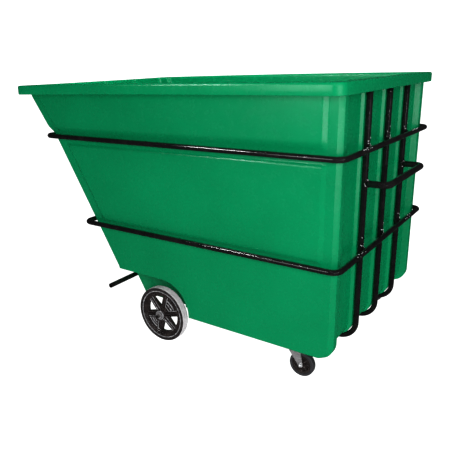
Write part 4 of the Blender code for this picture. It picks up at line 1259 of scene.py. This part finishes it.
# ------------------------------------------------------------------ stage, lights, camera
def floor_material():
    m = Nodes("studio_floor")
    col = m.ramp(m.noise(0.8, 2, 0.5), [(0.3, (0.30, 0.30, 0.30)), (0.7, (0.33, 0.33, 0.33))])
    m.set(Base_Color=col, Roughness=0.9, Specular_IOR_Level=0.1, Emission_Color=(1.0, 1.0, 1.0), Emission_Strength=0.80)
    return m.mat


bm = bmesh.new()
N = 96
centre = bm.verts.new((0, 0, -0.0004))
edge = [bm.verts.new((28 * math.cos(2 * math.pi * k / N), 28 * math.sin(2 * math.pi * k / N), -0.0004)) for k in range(N)]
for k in range(N):
    bm.faces.new((centre, edge[k], edge[(k + 1) % N]))
me = bpy.data.meshes.new("floor")
bm.to_mesh(me)
bm.free()
floor = bpy.data.objects.new("studio_floor", me)
scene.collection.objects.link(floor)
me.materials.append(floor_material())
floor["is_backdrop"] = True

world = bpy.data.worlds.new("studio")
scene.world = world
world.use_nodes = True
bg = world.node_tree.nodes["Background"]
bg.inputs["Color"].default_value = (1.0, 1.0, 1.0, 1.0)
# the backdrop shows white, and the room lights the truck more softly than that
seen = world.node_tree.nodes.new("ShaderNodeLightPath")
level = world.node_tree.nodes.new("ShaderNodeMapRange")
level.inputs["To Min"].default_value = 0.20
level.inputs["To Max"].default_value = 1.0
world.node_tree.links.new(seen.outputs["Is Camera Ray"], level.inputs["Value"])
gloss = world.node_tree.nodes.new("ShaderNodeMapRange")
gloss.inputs["To Min"].default_value = 1.0
gloss.inputs["To Max"].default_value = 0.16
world.node_tree.links.new(seen.outputs["Is Glossy Ray"], gloss.inputs["Value"])
product = world.node_tree.nodes.new("ShaderNodeMath")
product.operation = "MULTIPLY"
world.node_tree.links.new(level.outputs["Result"], product.inputs[0])
world.node_tree.links.new(gloss.outputs["Result"], product.inputs[1])
world.node_tree.links.new(product.outputs[0], bg.inputs["Strength"])
floor.visible_glossy = False


def area_light(name, at, to, size, size_y, watts, color=(1, 1, 1)):
    li = bpy.data.lights.new(name, "AREA")
    li.shape = "RECTANGLE"
    li.size, li.size_y = size, size_y
    li.energy = watts
    li.color = color
    ob = bpy.data.objects.new(name, li)
    scene.collection.objects.link(ob)
    ob.location = at
    ob.rotation_euler = (Vector(to) - Vector(at)).to_track_quat("-Z", "Y").to_euler()
    ob.visible_camera = False
    return ob


area_light("key_softbox", (2.25, -2.75, 1.75), (0.6, -0.5, 0.8), 1.5, 1.3, 55).visible_glossy = False
area_light("top_softbox", (1.1, -0.9, 4.0), (-0.3, 0.3, 1.0), 2.2, 1.8, 48).visible_glossy = False
area_light("right_softbox", (3.6, -2.05, 1.15), (0.9, -0.4, 1.0), 1.4, 1.8, 3)
area_light("inner_softbox", (-0.25, -0.12, 2.25), (-0.25, 0.62, 1.1), 1.7, 0.5, 14).visible_glossy = False
for name, at, to, wide, tall, watts in (("front_sheen", (-0.35, -3.3, 1.66), (0.6, -0.6, 1.3), 1.0, 1.0, 12), ("right_sheen", (3.6, -2.05, 1.15), (0.9, -0.4, 1.0), 1.4, 1.8, 60)):
    sheen = area_light(name, at, to, wide, tall, watts)
    sheen.visible_diffuse = False
# small lamps that only glint on the glossy black pipe
for k, at in enumerate(((-0.8, -3.6, 2.5), (0.2, -3.7, 3.2), (1.6, -3.3, 3.4), (2.6, -3.0, 2.2), (3.4, -2.0, 2.6), (3.6, -1.2, 1.7), (1.0, -2.0, 4.0), (3.0, -2.6, 0.9))):
    lamp = area_light("glint_lamp_%d" % k, at, (0.7, -0.4, 0.9), 0.07, 0.07, 3)
    lamp.visible_diffuse = False
streak = area_light("streak_lamp", (-0.617, -1.66, 1.98), (0.345, -0.608, 1.08), 0.50, 0.10, 15)
streak.visible_diffuse = False

scene.view_settings.view_transform = "Standard"
scene.view_settings.look = "High Contrast"
scene.view_settings.exposure = 0.0
scene.view_settings.gamma = 1.0

cam_data = bpy.data.cameras.new("camera")
cam_data.lens = 43.0593
cam_data.sensor_width = 36.0
cam_data.clip_start, cam_data.clip_end = 0.05, 200.0
cam = bpy.data.objects.new("camera", cam_data)
scene.collection.objects.link(cam)
cam.location = (1.72573, -2.58257, 1.47752)
cam.rotation_euler = (math.radians(72.687), math.radians(0.910), math.radians(34.139))
scene.camera = cam

lo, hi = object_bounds()
